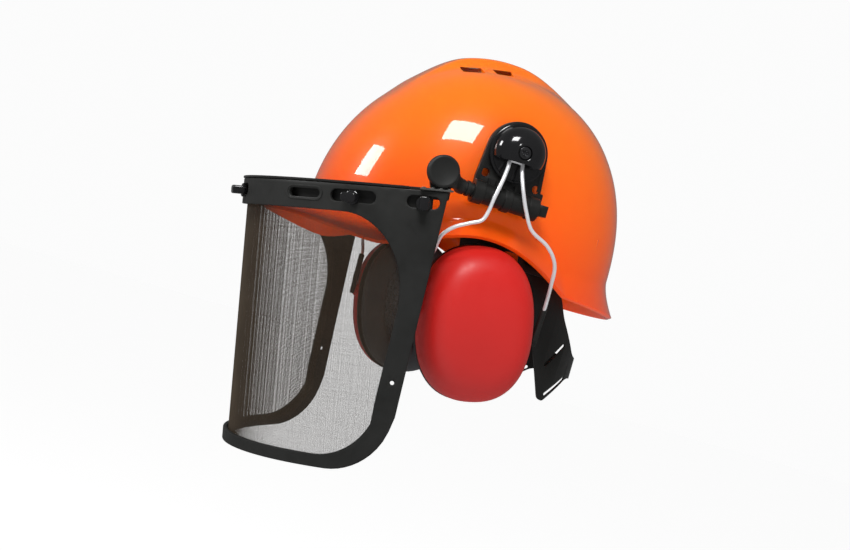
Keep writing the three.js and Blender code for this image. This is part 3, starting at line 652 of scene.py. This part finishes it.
def build_shell():
    sectors, dome_steps, flare_steps = 240, 84, 18
    steps = [k / dome_steps for k in range(1, dome_steps + 1)]
    steps += [1 + k / flare_steps for k in range(1, flare_steps + 1)]
    points = [(0, 0, SHELL.height + ridge_lift(0, 0, SHELL.height))]
    faces = []
    for k, t in enumerate(steps):
        here = 1 + k * sectors
        above = here - sectors
        for i, angle in enumerate(turns(sectors)):
            x, y, z = shell_point(angle, t)
            points.append((x, y, z + ridge_lift(x, y, z) if t <= 1 else z))
            j = (i + 1) % sectors
            lower = here + i, here + j
            faces.append((above + i, *lower, above + j) if k else (0, *lower))
    obj = new_object("shell_look", to_mesh("shell", Shape(points, faces)))
    modified(obj, "SOLIDIFY", thickness=SHELL.wall * MM, offset=-1, use_even_offset=True)
    u, v = VENT.length / 2, VENT.height / 2
    vent = rounded([(-u, -v), (u, -v), (u, v), (-u, v)], 1)
    tilt = atan2(VENT.rise, VENT.pitch)
    cuts = Shape()
    for side in (-1, 1):
        ends = sorted((side * (VENT.across - 13), side * (VENT.across + 14)))
        for step in (0, 1):
            y, z = VENT.first + step * VENT.pitch, VENT.level + step * VENT.rise
            cuts += prism_x(placed(vent, tilt, y, z), *ends)
        cuts += box(side * 103 - 6, side * 103 + 6, HUB.y - 15.5, HUB.y + 15.5, 24.5, 29)
    combine(obj, cuts)
    soften(obj, 0.5, 2, 50)
    shown(obj, ORANGE, "shell", sharp=50)

    pockets = Shape()
    for degrees in CLIP_ANGLES:
        outside = inner_distance(degrees) + 1
        inside = outside - 8.5
        pocket = Shape()
        for x in (inside, outside - 2.2):
            pocket += box(x, x + 2.2, -13, 13, 13, POCKET_TOP)
        for y in (-13, 9.5):
            pocket += box(inside + 1, outside - 1, y, y + 3.5, 13, POCKET_TOP)
        pocket += box(inside + 1, outside - 1, -12, 12, POCKET_TOP - 0.8, POCKET_TOP)
        pockets += pocket.moved(Matrix.Rotation(radians(degrees - 90), 4, "Z"))
    obj = new_object("shell_pockets", to_mesh("pockets", pockets))
    soften(obj, 0.5)
    dressed(obj, ORANGE, "helmet")


# --- harness
def plan_point(plan, angle, inset=0, outward=0):
    """A point of a band's plan, which is a superellipse round (0, middle)."""
    across, along = sin(angle), -cos(angle)
    far = reach(across, along, plan.half_width - inset, plan.half_length - inset, plan.power) + outward
    return far * across, plan.middle + far * along


def band(plan, bottom, top):
    rings = []
    for inset, z in ((0, top), (0, bottom), (plan.thickness, bottom), (plan.thickness, top)):
        rings.append([(*plan_point(plan, angle, inset), z) for angle in turns(200)])
    return loft(rings, looped=True)


def cut_band(node, plan, bottom, top, side_view, cuts, bevel):
    """A band whose edges follow an outline drawn in (y, z)."""
    obj = look_object(node, band(plan, bottom, top))
    combine(obj, prism_x(side_view, -110, 110), "INTERSECT")
    for cut in cuts:
        combine(obj, cut)
    soften(obj, bevel, 2, 40)
    shown(obj, SATIN, node)


def build_headband():
    side_view = rounded([(-110, 16), (-40, 14), (26, 12), (30, -12), (58, -12), (62, 8), (112, 2),
                         (112, 30), (60, 38), (0, 40), (-60, 44), (-110, 48)], 7)
    slot = stadium(44, -3, 22.3, 7.2)
    cut_band("headband", HEADBAND, -20, 52, side_view, [prism_x(slot, -95, 95)], 0.4)


def build_nape_strap():
    side_view = rounded([(37, 7), (62, 7), (85, -36), (106, -62), (120, -64), (120, -80), (106, -79),
                         (86, -101.5), (81, -100), (68, -71), (57, -42), (44, -16), (36, -6)], 5)
    cuts = []
    for y0, z0, y1, z1 in ((79, -75, 93, -55), (86.5, -96.4, 103, -79.6)):
        length = hypot(y1 - y0, z1 - z0)
        slot = placed(stadium(length / 2, 0, length, 2.6, 6), atan2(z1 - z0, y1 - y0), y0, z0)
        cuts.append(prism_x(slot, -90, 90))
    cut_band("nape_strap", NAPE, -108, 12, side_view, cuts, 0.5)

    profile = [(0.01, 63), (2.8, 63), (2.8, 79), (4.4, 79.3), (4.4, 79.8), (3.8, 80.2), (0.01, 80.2)]
    button = turned_x(profile, 44, -3, 32)
    buttons = new_object("nape_buttons", to_mesh("buttons", button.mirrored() + button))
    dressed(buttons, SATIN, "nape", 40)


def build_sweatband():
    """Padded brow band, with a stitched seam near each edge."""
    bottom, top = (corner.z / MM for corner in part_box("sweatband"))
    middle, half_height = lerp(bottom, top, 0.5), (top - bottom) / 2
    half = radians(SWEATBAND.half_angle)
    stations = 150
    rings = []
    for k in range(stations + 1):
        angle = lerp(-half, half, k / stations)
        end = min(1, min(k, stations - k) / 5)
        closing = sqrt(1 - (1 - end) ** 2)
        pillow = 1 + 0.05 * sin(angle * 46)
        ring = []
        for a in turns(28):
            up = signed_power(sin(a), 0.55)
            depth = (signed_power(cos(a), 0.7) + 1) / 2
            channel = 1 - 0.45 * exp(-((abs(up) - SWEATBAND.seam) / 0.07) ** 2) * (depth > 0.4)
            inward = depth * SWEATBAND.depth * channel * pillow * (0.35 + 0.65 * closing)
            level = middle + up * half_height * (0.75 + 0.25 * closing)
            ring.append((*plan_point(HEADBAND, angle, SWEATBAND.inset, -inward), level))
        rings.append(ring)
    piece("sweatband", loft(rings), VINYL, sharp=70)

    stitches = Shape()
    for level in (middle - SWEATBAND.seam * half_height, middle + SWEATBAND.seam * half_height):
        for k in range(92):
            start = lerp(-half, half, (k + 3) / 98)
            dash = []
            for i, outward in enumerate((-2.5, -2.75, -2.75, -2.5)):
                angle = start + radians(1.3) * i / 3
                dash.append((*plan_point(HEADBAND, angle, SWEATBAND.inset, outward), level))
            stitches += sweep(dash, 0.28, 6)
    dressed(new_object("sweatband_stitching", to_mesh("stitching", stitches)), THREAD, "helmet")


def strap_start(degrees):
    """A point just outside the headband, in a direction from the front."""
    x, y = sin(radians(degrees)), -cos(radians(degrees))
    far = 60
    while (abs(far * x) / HEADBAND.half_width) ** HEADBAND.power + (
            abs(far * y - HEADBAND.middle) / HEADBAND.half_length) ** HEADBAND.power < 1:
        far += 0.25
    far += 2.6
    return Vector((x * far, y * far, STRAP_FOOT))


def build_crown_strap(node, degrees, crown):
    """Webbing over the head, with thicker selvedges."""
    front, rear = strap_start(degrees), strap_start(degrees + 180)
    across = Vector((0, 0, 1)).cross((rear - front).normalized()) * 10
    steps, columns = 120, 12
    path = []
    for k in range(steps + 1):
        turn = pi * k / steps
        point = front.lerp(rear, (1 - cos(turn)) / 2)
        point.z = STRAP_FOOT + (crown - STRAP_FOOT) * sin(turn) ** 0.8
        path.append(point)
    rings, lengths = [], [0]
    for k, point in enumerate(path):
        if k:
            lengths.append(lengths[-1] + (point - path[k - 1]).length)
        along = tangent(path, k)
        if k in (0, steps):
            along = Vector((0, 0, 1 if k == 0 else -1))
        out = along.cross(across).normalized()
        ring = []
        for side in (1, -1):
            for i in range(columns + 1):
                u = (1 - 2 * i / columns) * side
                half = 0.65 * (1 if abs(u) > 0.8 else 0.72) * (0.55 if abs(u) == 1 else 1)
                ring.append(point + across * u + out * side * half)
        rings.append(ring)
    mesh = raw_mesh(node, loft(rings))
    mesh.flip_normals()
    layer = mesh.uv_layers.new(name="strap")
    for loop in mesh.loops:
        k, i = divmod(loop.vertex_index, 2 * columns + 2)
        layer.data[loop.index].uv = (i % (columns + 1) / columns * 20 * MM, lengths[k] * MM)
    shown(new_object(f"{node}_look", mesh), WEBBING, node, sharp=60)


# --- adapters and hubs
def build_adapters():
    top = [(HUB.y + 23 * cos(a), HUB.z + 23 * sin(a))
           for a in (lerp(0.1, pi - 0.1, i / 40) for i in range(41))]
    outline = rounded([(-31, 24), (22, 24), (22.5, 44)], 2.5) + top + [(-30.5, 42)]
    holes = [circle(-24, 46, 3), circle(16, 45, 3), circle(HUB.y, HUB.z, 2.6)]
    plate = plate_x([outline, *holes], 108, 112, 0.5)
    rib = [(y * 0.955 + HUB.y * 0.045, z) for y, z in outline]
    inner_rib = [(HUB.y + (y - HUB.y) * 0.9, 46 + (z - 46) * 0.9) for y, z in rib]
    rim = plate_x([rib, inner_rib], 111.5, 112.3, 0.25)
    x, z, r, bore = BARREL.x, BARREL.z, BARREL.radius, BARREL.bore
    tube = [(r - 0.5, -32), (r, -31.5), (r, 17.5), (r - 0.5, 18), (bore + 0.3, 18), (bore, 17.7),
            (bore, -31.7), (bore + 0.3, -32)]
    barrel = turned_y(tube, x, z, 48, looped=True)
    for y0, y1 in ((-32, -24), (-9, -3), (10, 18)):
        collar = [(r - 0.2, y0 + 0.1), (r + 0.6, y0 + 0.1), (r + 1, y0 + 0.5), (r + 1, y1 - 0.5),
                  (r + 0.6, y1 - 0.1), (r - 0.2, y1 - 0.1)]
        barrel += turned_y(collar, x, z, 48, looped=True)
    for y in (-20, -14, 0.5, 6):
        barrel += box(112, 114.5, y - 0.8, y + 0.8, z - 6, z + 12)
    tab = box(98.5, 109, HUB.y - 15, HUB.y + 15, 25, 28.5)
    stand_off = turned_x([(10, 104.6), (12, 108.5)], HUB.y, HUB.z, 40)
    pair("adapter", plate + rim + barrel + tab + stand_off, SATIN)
    for side in SIDES:
        refined(f"barrel_cap_{side}", SATIN, 0.5)


def build_hubs():
    y, z = HUB.y, HUB.z
    knots = [(19.5, 3.9), (19.2, 5.6), (18.5, 8.2), (17.2, 10.8), (15.5, 12.8), (13.2, 14.7), (11, 15.9),
             (8.6, 16.8), (7.2, 17.2)]
    profile = [(0.01, 0.2), (21.1, 0.2), (21.5, 0.6), (21.5, 3), (21.1, 3.4), (19.8, 3.5)]
    profile += curve_through(knots, 4)
    profile += [(6.6, 17.6), (5.9, 17.7), (5.2, 17.3), (5.2, 14.6), (0.01, 14.6)]
    cap = turned_x([(r, HUB.base + x) for r, x in profile], y, z, 128)
    lip = [(-30, 40), (20, 40), (20, 59.5)]
    lip += [(lerp(14, -24, i / 16), 56.8 + 2.6 * abs(lerp(-1, 1, i / 16)) ** 2.5) for i in range(17)]
    lip += [(-30, 59.5)]
    under = prism_x(lip, 116.6, 134)
    inner_mouth = rounded([(-15.2, 50), (1.6, 50), (1.6, 61), (-15.2, 61)], 2.5)
    outer_mouth = [(-16.5, 50), (3, 50), (3, 57.2), (1.6, 58), (-15.2, 58), (-16.5, 57.2)]
    cuts = (under, prism_x(inner_mouth, 118.6, 126.6), prism_x(outer_mouth, 118.6, 134))
    for side in SIDES:
        node = f"hub_cap_{side}"
        obj = look_object(node, sided(cap, side))
        for cut in cuts:
            combine(obj, sided(cut, side))
        soften(obj, 0.7, 3, 42)
        shown(obj, GLOSS, node, sharp=45)

    head = [(0.01, 127.3), (4.2, 127.3), (4.6, 127.7), (4.6, 129.2), (4.1, 129.7), (2.5, 129.8),
            (2.3, 129.6), (2.2, 128.6), (0.01, 128.6)]
    screw = turned_x(head, y, z, 48)
    shank = [(0.01, 108.6), (1.7, 108.6), (2.05, 108.75), (2.2, 109.1), (2.2, 127), (2.05, 127.35),
             (1.7, 127.5), (0.01, 127.5)]
    screw += turned_x(shank, y, z, 24)
    for angle in turns(6):
        lobe = [(0.55, 128.5), (0.55, 129.5), (0.3, 129.7)]
        screw += turned_x(lobe, y + 1.7 * cos(angle), z + 1.7 * sin(angle), 10)
    pair("hub_screw", screw, SCREW)


# --- muffs
BAIL_POINTS = [
    (104.5, -44.4, -36), (105, -44.4, -27), (115, -44.8, -17), (121.6, -44.6, -6.5), (125.4, -39, 1),
    (128.4, -29.5, 7), (129.8, -21.4, 12), (129.8, -17.6, 30), (128.6, -15, 43), (124, -12.6, 53.4),
    (121, -11.4, 58.4), (121, -8.6, 58.9), (121, -5, 58.9), (121, -2.4, 58.4), (123.8, -1.8, 53),
    (129.4, 1.2, 40), (130, 7.6, 26.3), (130, 15.2, 15), (129.6, 29.2, 8), (128, 37.1, 1.2),
    (125, 41.6, -6), (119, 44.6, -18), (112, 47.4, -28), (108, 48.8, -37), (105, 49.4, -44),
]


def yoke_arm(top, inner, outer):
    """A sleeve on the wire's end that flattens into an arm, with a pin into the cup's boss."""
    side = copysign(1, inner)
    middle, half = (inner + outer) / 2, abs(outer - inner) / 2
    x, y, z = top
    px, pz = CUP_PIVOT.x, CUP_PIVOT.z
    stations = [
        (x, y, z, 2.7, 2.2, 1), (x - 0.7, y, z - 5, 3, 2.3, 1), (x - 1.4, y, z - 10, 2.9, 2.1, 0.8),
        (lerp(x - 1.4, px, 0.5), lerp(y, middle, 0.5), lerp(z - 10, pz, 0.5), 3.4, 2, 0.5),
        (px, middle, pz + 2.5, 4.2, half, 0.45), (px, middle, pz, 4.3, half, 0.45),
        (px, middle, pz - 2.6, 3.4, half, 0.45), (px, middle, pz - 4, 1.8, half * 0.85, 0.6),
    ]
    arm = rounded_bar(stations, 5, 24, lambda p, u, v: (p.x + u, p.y + v, p.z))
    pin = [(0.01, inner + side), (2, inner + side), (2, inner - side * 3.9), (1.6, inner - side * 4.2),
           (0.01, inner - side * 4.2)]
    return arm + turned_y(pin, px, pz, 24)


def oval(half_width, half_height, x, angles=None):
    """A cup's outline at x, all round or at the angles given. It leans with the cup."""
    outline = []
    for a in angles or turns(CUP.sectors):
        far = reach(cos(a), sin(a), half_width, half_height, 2.35)
        outline.append((far * cos(a), far * sin(a)))
    return [(x, y, z) for y, z in placed(outline, radians(CUP.tilt), CUP.y, CUP.z)]


def build_cups():
    knots = [(0, 1), (0.04, 1.003), (0.3, 1), (0.56, 0.965), (0.76, 0.89), (0.87, 0.805), (0.94, 0.7),
             (0.975, 0.58), (0.99, 0.42), (1, 0.2)]
    profile = curve_through(knots, 6)
    tip = CUP.base + CUP.depth
    outer = loft([oval((CUP.half_width + 0.4) * p.y, CUP.half_height * p.y, CUP.base + p.x * CUP.depth)
                  for p in profile], capped=False)
    inner = loft([oval(CUP.half_width * p.y - CUP.wall, CUP.half_height * p.y - CUP.wall,
                       max(CUP.base + p.x * CUP.depth - CUP.wall, CUP.base))
                  for p in profile], capped=False)
    shape = outer + Shape(inner.points, [tuple(reversed(f)) for f in inner.faces])
    sectors = CUP.sectors
    for start, x in ((len(outer.points) - sectors, tip), (len(shape.points) - sectors, tip - CUP.wall)):
        shape.points.append((x, CUP.y, CUP.z))
        for i in range(sectors):
            shape.faces.append((start + i, start + (i + 1) % sectors, len(shape.points) - 1))
    for i in range(sectors):
        j = (i + 1) % sectors
        shape.faces.append((j, i, len(outer.points) + i, len(outer.points) + j))
    for y0, y1 in ((-34, -42.2), (37, 46)):
        side = copysign(1, y1)
        ring = [(5.6, y0), (5, y1 - side * 4), (5, y1 - side * 0.5), (4.6, y1), (2.6, y1),
                (2.4, y1 - side * 0.3), (2.4, y1 - side * 4)]
        shape += turned_y(ring, CUP_PIVOT.x, CUP_PIVOT.z, 40)
    pair("cup_shell", shape, RED, sharp=45)


def cushion_shape():
    """A vinyl ring filled with foam: a welded seam round the outside, and gathers round the opening."""
    rng = random.Random(SEED)
    waves = [(rng.randint(9, 34), rng.uniform(0, 6.28), rng.uniform(0.3, 1)) for _ in range(7)]
    rings = []
    for angle in turns(144):
        gather = sum(w * sin(n * angle + p) for n, p, w in waves) / 4
        ring = []
        for a in turns(36):
            out = signed_power(cos(a), 0.72)
            up = signed_power(sin(a), 0.8)
            inward = max(0, -out)
            plump = 1 + 0.035 * gather * (0.25 + inward)
            seam = 0.9 * exp(-(up / 0.13) ** 2) * (out > 0)
            x = CUSHION_MIDDLE + up * 6 * (1 + 0.05 * gather * inward)
            ring += oval(30 + out * 10 * plump - seam, 44.5 + out * 10.5 * plump - seam, x, [angle])
        rings.append(ring)
    piping = oval(39.6, 54.6, CUSHION_MIDDLE, turns(120) + [2 * pi])
    return loft(rings, looped=True) + sweep(piping, 0.7, 8)


def build_muffs():
    pair("wire_bail", sweep(curve_through(BAIL_POINTS, 8), 1.4, 16), STEEL, sharp=60)
    pair("yoke_arm_front", yoke_arm((104.6, -44.4, -29), -42.6, -45.1), MATTE, sharp=50)
    pair("yoke_arm_rear", yoke_arm((107.4, 48.9, -33.5), 46.4, 51), MATTE, sharp=50)
    build_cups()
    rim = [oval(w, h, x) for w, h, x in (
        (41.5, 56.5, 93.2), (41.5, 56.5, 96.1), (41, 56, 96.6), (22.5, 36.5, 96.6), (22, 36, 96.1),
        (22, 36, 93.1), (22.5, 36.5, 92.6), (40.9, 55.9, 92.6))]
    pair("cup_back_plate", loft(rim, looped=True), SATIN)
    cushion = cushion_shape()
    foam = loft([oval(34 - inset, 49 - inset, x, turns(64)) for x, inset in (
        (97.5, 2.2), (97.8, 0.8), (98.6, 0), (104, -0.4), (108, 0.2), (111, 1.8), (112.6, 4.2), (113, 8))])
    for side in SIDES:
        piece(f"ear_cushion_{side}", sided(cushion, side), VINYL, sharp=75)
        piece(f"cup_foam_{side}", sided(foam, side), FOAM, sharp=60)


# --- visor
VISOR_PLACE = Matrix.Translation(HINGE) @ Matrix.Rotation(radians(VISOR.lean), 4, "X")


def visor_point(girth, drop, radius):
    """By the distance around the curve, below the hinge and from the curve's axis."""
    angle = girth / VISOR.radius
    return VISOR_PLACE @ Vector((radius * sin(angle), VISOR.axis - radius * cos(angle), -drop))


def frame_bottom(girth):
    if girth < 125:
        return VISOR.bottom
    side = 14 + (VISOR.half_girth + 0.5 - girth) * 6.8
    curved = 167 + sqrt(max(0, 47 ** 2 - (girth - 125) ** 2))
    return min(side, curved) if girth < 171 else side


def corner(girth, start):
    """Falls from 1 to 0 along a quarter of an ellipse, as wide as the window's corners."""
    return sqrt(1 - min(max((girth - start) / 46, 0), 1) ** 2)


def window_top(girth):
    return 86.5 - 53 * corner(girth, 122)


def window_bottom(girth):
    curved = 160 + 45 * corner(girth, 114)
    return min(curved, 160 - (girth - 158) * 6.4) if girth > 157 else curved


def visor_outline(limit, top, bottom):
    """An outline in (girth, drop) that is closely spaced towards its two sides."""
    girths = [limit * sin(pi / 2 * (2 * k / 90 - 1)) for k in range(91)]
    return [(g, top(abs(g))) for g in girths] + [(g, bottom(abs(g))) for g in reversed(girths)]


def bent_plate(loops, inner, outer, bevel):
    """A plate drawn in (girth, drop), cut into strips and bent round the visor's axis."""
    bm = flat_plate(loops, outer - inner, bevel)
    low = min(v.co.x for v in bm.verts)
    high = max(v.co.x for v in bm.verts)
    cuts = int((high - low) / STRIP)
    for k in range(1, cuts):
        geometry = [*bm.verts, *bm.edges, *bm.faces]
        bmesh.ops.bisect_plane(bm, geom=geometry, dist=1e-5, plane_no=(1, 0, 0),
                               plane_co=(lerp(low, high, k / cuts), 0, 0))
    middle = (inner + outer) / 2
    return shape_of(bm, lambda u, v, w: visor_point(u, v, middle + w))


def arc_bar(section, limit):
    """A bar round the visor's axis whose section is drawn in (radius, drop)."""
    return loft([[visor_point(lerp(-limit, limit, k / 140), drop, r) for r, drop in section]
                 for k in range(141)])


def build_visor_frame():
    inner = VISOR.radius - VISOR.thickness / 2
    outer = VISOR.radius + VISOR.thickness / 2
    outline = visor_outline(VISOR.half_girth, lambda g: VISOR.top, frame_bottom)
    window = visor_outline(168, window_top, window_bottom)
    slots = [stadium(g, SLOT_LEVEL, 34 if abs(g) == 129 else 23, 8.6) for g in STUD_GIRTHS]
    slots += [stadium(g, SLOT_LEVEL, 28, 6.2) for g in (-89, 89)]
    holes = [circle(g, 149.3, 1.5, 16) for g in (-168.3, 168.3)]
    shape = bent_plate([outline, window, *slots, *holes], inner, outer, 0.5)
    for girth in (-89, 89):
        loops = [stadium(girth, SLOT_LEVEL, 33 - cut, 10.5 - cut) for cut in (0, 2.4)]
        shape += bent_plate(loops, outer - 0.2, outer + 0.35, 0.15)
    piece("visor_frame", shape, MATTE, sharp=40)


def build_visor_mesh():
    """Woven wire, each wire a real one: straight ones down the visor and bent ones across it."""
    grown = 5
    top = lambda g: window_top(g - grown) - grown + 1.6
    bottom = lambda g: window_bottom(g - grown) + grown - 0.6
    wires = Shape()
    count = int(MESH.girth / MESH.pitch)
    wander = random.Random(SEED + 1)
    for k in range(-count, count + 1):
        girth = (k + wander.uniform(-0.2, 0.2)) * MESH.pitch
        wires += loft([[visor_point(girth + cos(a) * MESH.wire, drop, MESH.middle + 0.1 + sin(a) * MESH.wire)
                        for a in turns(4)] for drop in (top(abs(girth)), bottom(abs(girth)))], capped=False)
    level = top(0) + MESH.pitch / 2
    steps = 60
    while level < bottom(0):
        girth = MESH.girth
        while girth > 0 and not top(girth) < level < bottom(girth):
            girth -= 0.5
        wires += loft([[visor_point(lerp(-girth, girth, k / steps), level + MESH.wire * cos(a),
                                    MESH.middle - 0.1 + MESH.wire * sin(a)) for a in turns(3)]
                       for k in range(steps + 1)], capped=False)
        level += MESH.pitch * wander.uniform(0.85, 1.15)
    piece("visor_mesh", wires, PAINTED, sharp=60)


def build_carrier():
    a, b = CARRIER.inside, CARRIER.outside
    top, bottom = CARRIER.top, CARRIER.bottom
    wall = [(a, top + 0.5), (a + 0.5, top), (b - 0.5, top), (b, top + 0.5), (b, bottom - 0.5),
            (b - 0.5, bottom), (a + 0.5, bottom), (a, bottom - 0.5)]
    edge = VISOR.radius + VISOR.thickness / 2 + 0.6
    lip = [(a + 0.4, top), (edge - 0.5, top), (edge, top + 0.4), (edge, top + 1.3), (edge - 0.4, top + 1.7),
           (a + 0.4, top + 1.7)]
    shape = arc_bar(wall, 186) + arc_bar(lip, 168)
    strut = rounded([(-5.4, -20), (7, -20), (9, 0), (-9, 0)], 1.5)
    lug = turned_x([(2.9, 124.4), (8.5, 124.4), (9, 124.9), (9, 127.7), (8.5, 128.2), (2.9, 128.2)], 0, 0, 56)
    left = lug + plate_x([strut], 124.4, 127.4, 0.4)
    shape += (left + left.mirrored()).moved(VISOR_PLACE)
    piece("visor_carrier", shape, SATIN)


def build_visor_arms():
    _, y, z = HINGE
    disc = turned_x([(3.4, 128.6), (10.8, 128.6), (11.5, 129.4), (11.5, 133.3), (11.1, 134), (10.2, 134.4),
                     (9.4, 134.4), (9, 134.15), (0.01, 134.15)], y, z, 72)
    stations = [(131.4, -53.6, 34.6, 2.5, 8.2, 0.5), (131.3, -50.5, 33.6, 2.5, 7.4, 0.5),
                (128.5, -47.2, 32.3, 3.6, 6.2, 0.6), (122.5, -44, 31, 5, 5.8, 0.8),
                (119.4, -41, 30.6, 5.4, 5.6, 1), (119, -38.4, 30.5, 5.3, 5.3, 1)]
    arm = rounded_bar(stations, 6, 28, lambda p, u, v: (p.x + u, p.y, p.z + v))
    rod = turned_y([(0.01, -44), (4.6, -44), (4.6, -38), (4.6, 7.4), (4, 8), (0.01, 8)],
                   BARREL.x, BARREL.z, 36)
    ring = turned_y([(4.5, -37), (5.6, -36.6), (5.6, -34.6), (4.5, -34.2)], BARREL.x, BARREL.z, 36)
    pair("visor_arm", disc + arm + rod + ring, MATTE)


def build_stud(node, girth, upright):
    """A quarter-turn stud: a pin through the slot, a round collar and a bar to turn it by."""
    def ring(out, half_width, half_height, power=2):
        return [visor_point(girth + half_width * signed_power(cos(a), 2 / power),
                            STUD.drop - half_height * signed_power(sin(a), 2 / power), out)
                for a in turns(40)]

    inside, collar, outside = STUD.inside, STUD.collar, STUD.outside
    pin = [ring(out, r, r) for out, r in ((inside, 2.6), (inside + 0.4, 3), (collar, 3))]
    disc = [ring(out, r, r) for out, r in (
        (collar, 4.6), (collar + 0.4, 5.1), (collar + 1.6, 5.1), (collar + 2.1, 4.5))]
    wide, high = (3, 5) if upright else (5.2, 3.2)
    bar = [ring(out, wide - cut, high - cut, 5)
           for out, cut in ((collar + 1, 0), (outside - 0.9, 0), (outside - 0.3, 0.3), (outside, 0.9))]
    piece(node, loft(pin) + loft(disc) + loft(bar), GLOSS, sharp=45)


# --- stage
def softbox(name, place, target, width, height, power, seen_in_gloss=True):
    light = configured(bpy.data.lights.new(name, "AREA"), shape="RECTANGLE", size=width, size_y=height,
                       energy=power)
    obj = new_object(name, light)
    obj.location = place
    obj.rotation_euler = (target - place).to_track_quat("-Z", "Y").to_euler()
    obj.visible_glossy = seen_in_gloss


def build_stage():
    """The camera sees the hat tipped forward, from its left front."""
    azimuth, elevation, distance = radians(75), radians(3), 1.2
    back = Vector((sin(azimuth) * cos(elevation), -cos(azimuth) * cos(elevation), sin(elevation)))
    right = Vector((0, 0, 1)).cross(back).normalized()
    up = back.cross(right)
    leftward, downward, forward = 0.009375, 0.03203, Vector((0, -0.015, 0))
    pitch = Matrix.Rotation(radians(17), 3, "X")
    place = pitch @ (back * distance - right * leftward - up * downward) + forward
    right, up, back = (pitch @ axis for axis in (right, up, back))
    data = configured(bpy.data.cameras.new("camera"), lens=65.05, sensor_width=36)
    camera = new_object("camera", data)
    turn = Matrix((right, up, back)).transposed().to_4x4()
    camera.matrix_world = Matrix.Translation(place) @ turn
    bpy.context.scene.camera = camera

    world = bpy.data.worlds.new("studio")
    world.use_nodes = True
    bpy.context.scene.world = world
    n = Nodes(world, "Background")
    n.shader.inputs["Color"].default_value = (1, 1, 1, 1)
    rays = n.add("LightPath").outputs
    strength = 0.36
    for ray, change in (("Is Camera Ray", 0.61), ("Is Glossy Ray", -0.16)):
        sockets = {0: rays[ray], 1: change, 2: strength}
        strength = n.add("Math", sockets, operation="MULTIPLY_ADD").outputs[0]
    n.set("Strength", strength)

    white = new_material("floor", (0.86,) * 3, 0.9, Emission_Color=(1, 1, 1, 1), Emission_Strength=0.665)
    half, level = 30000, -1000
    corners = [(x * half, y * half, level) for x, y in ((-1, -1), (1, -1), (1, 1), (-1, 1))]
    floor = new_object("floor", to_mesh("floor", Shape(corners, [range(4)])))
    floor.data.materials.append(white)
    floor.visible_glossy = False

    target = Vector((0, 0, 0.03))
    aim = lambda across, above, behind: target + right * across + up * above + back * behind
    softbox("key softbox", aim(0.05, 1.15, 1.15), target, 0.66, 0.44, 25)
    softbox("front softbox", aim(-1.95, 1.35, 0.3), target, 0.7, 0.55, 28)
    softbox("fill", aim(1, -0.5, 1.3), target, 0.9, 0.9, 6, seen_in_gloss=False)


build_shell()
build_headband()
build_sweatband()
build_nape_strap()
build_crown_strap("crown_strap_lower", 38, 104)
build_crown_strap("crown_strap_upper", 322, 108)
for place in ("front_left", "rear_left", "rear_right", "front_right"):
    refined(f"harness_clip_{place}", SATIN, 0.5)
build_adapters()
build_hubs()
build_muffs()
build_visor_frame()
build_visor_mesh()
build_carrier()
build_visor_arms()
for side in SIDES:
    refined(f"carrier_bracket_{side}", GREY, 0.3)
    refined(f"hinge_pin_{side}", SCREW, 0.3)
for k, girth in enumerate(STUD_GIRTHS):
    build_stud(f"visor_stud_{k + 1}", girth, upright=abs(girth) > 150)
build_stage()
bpy.context.scene.view_settings.view_transform = "Standard"
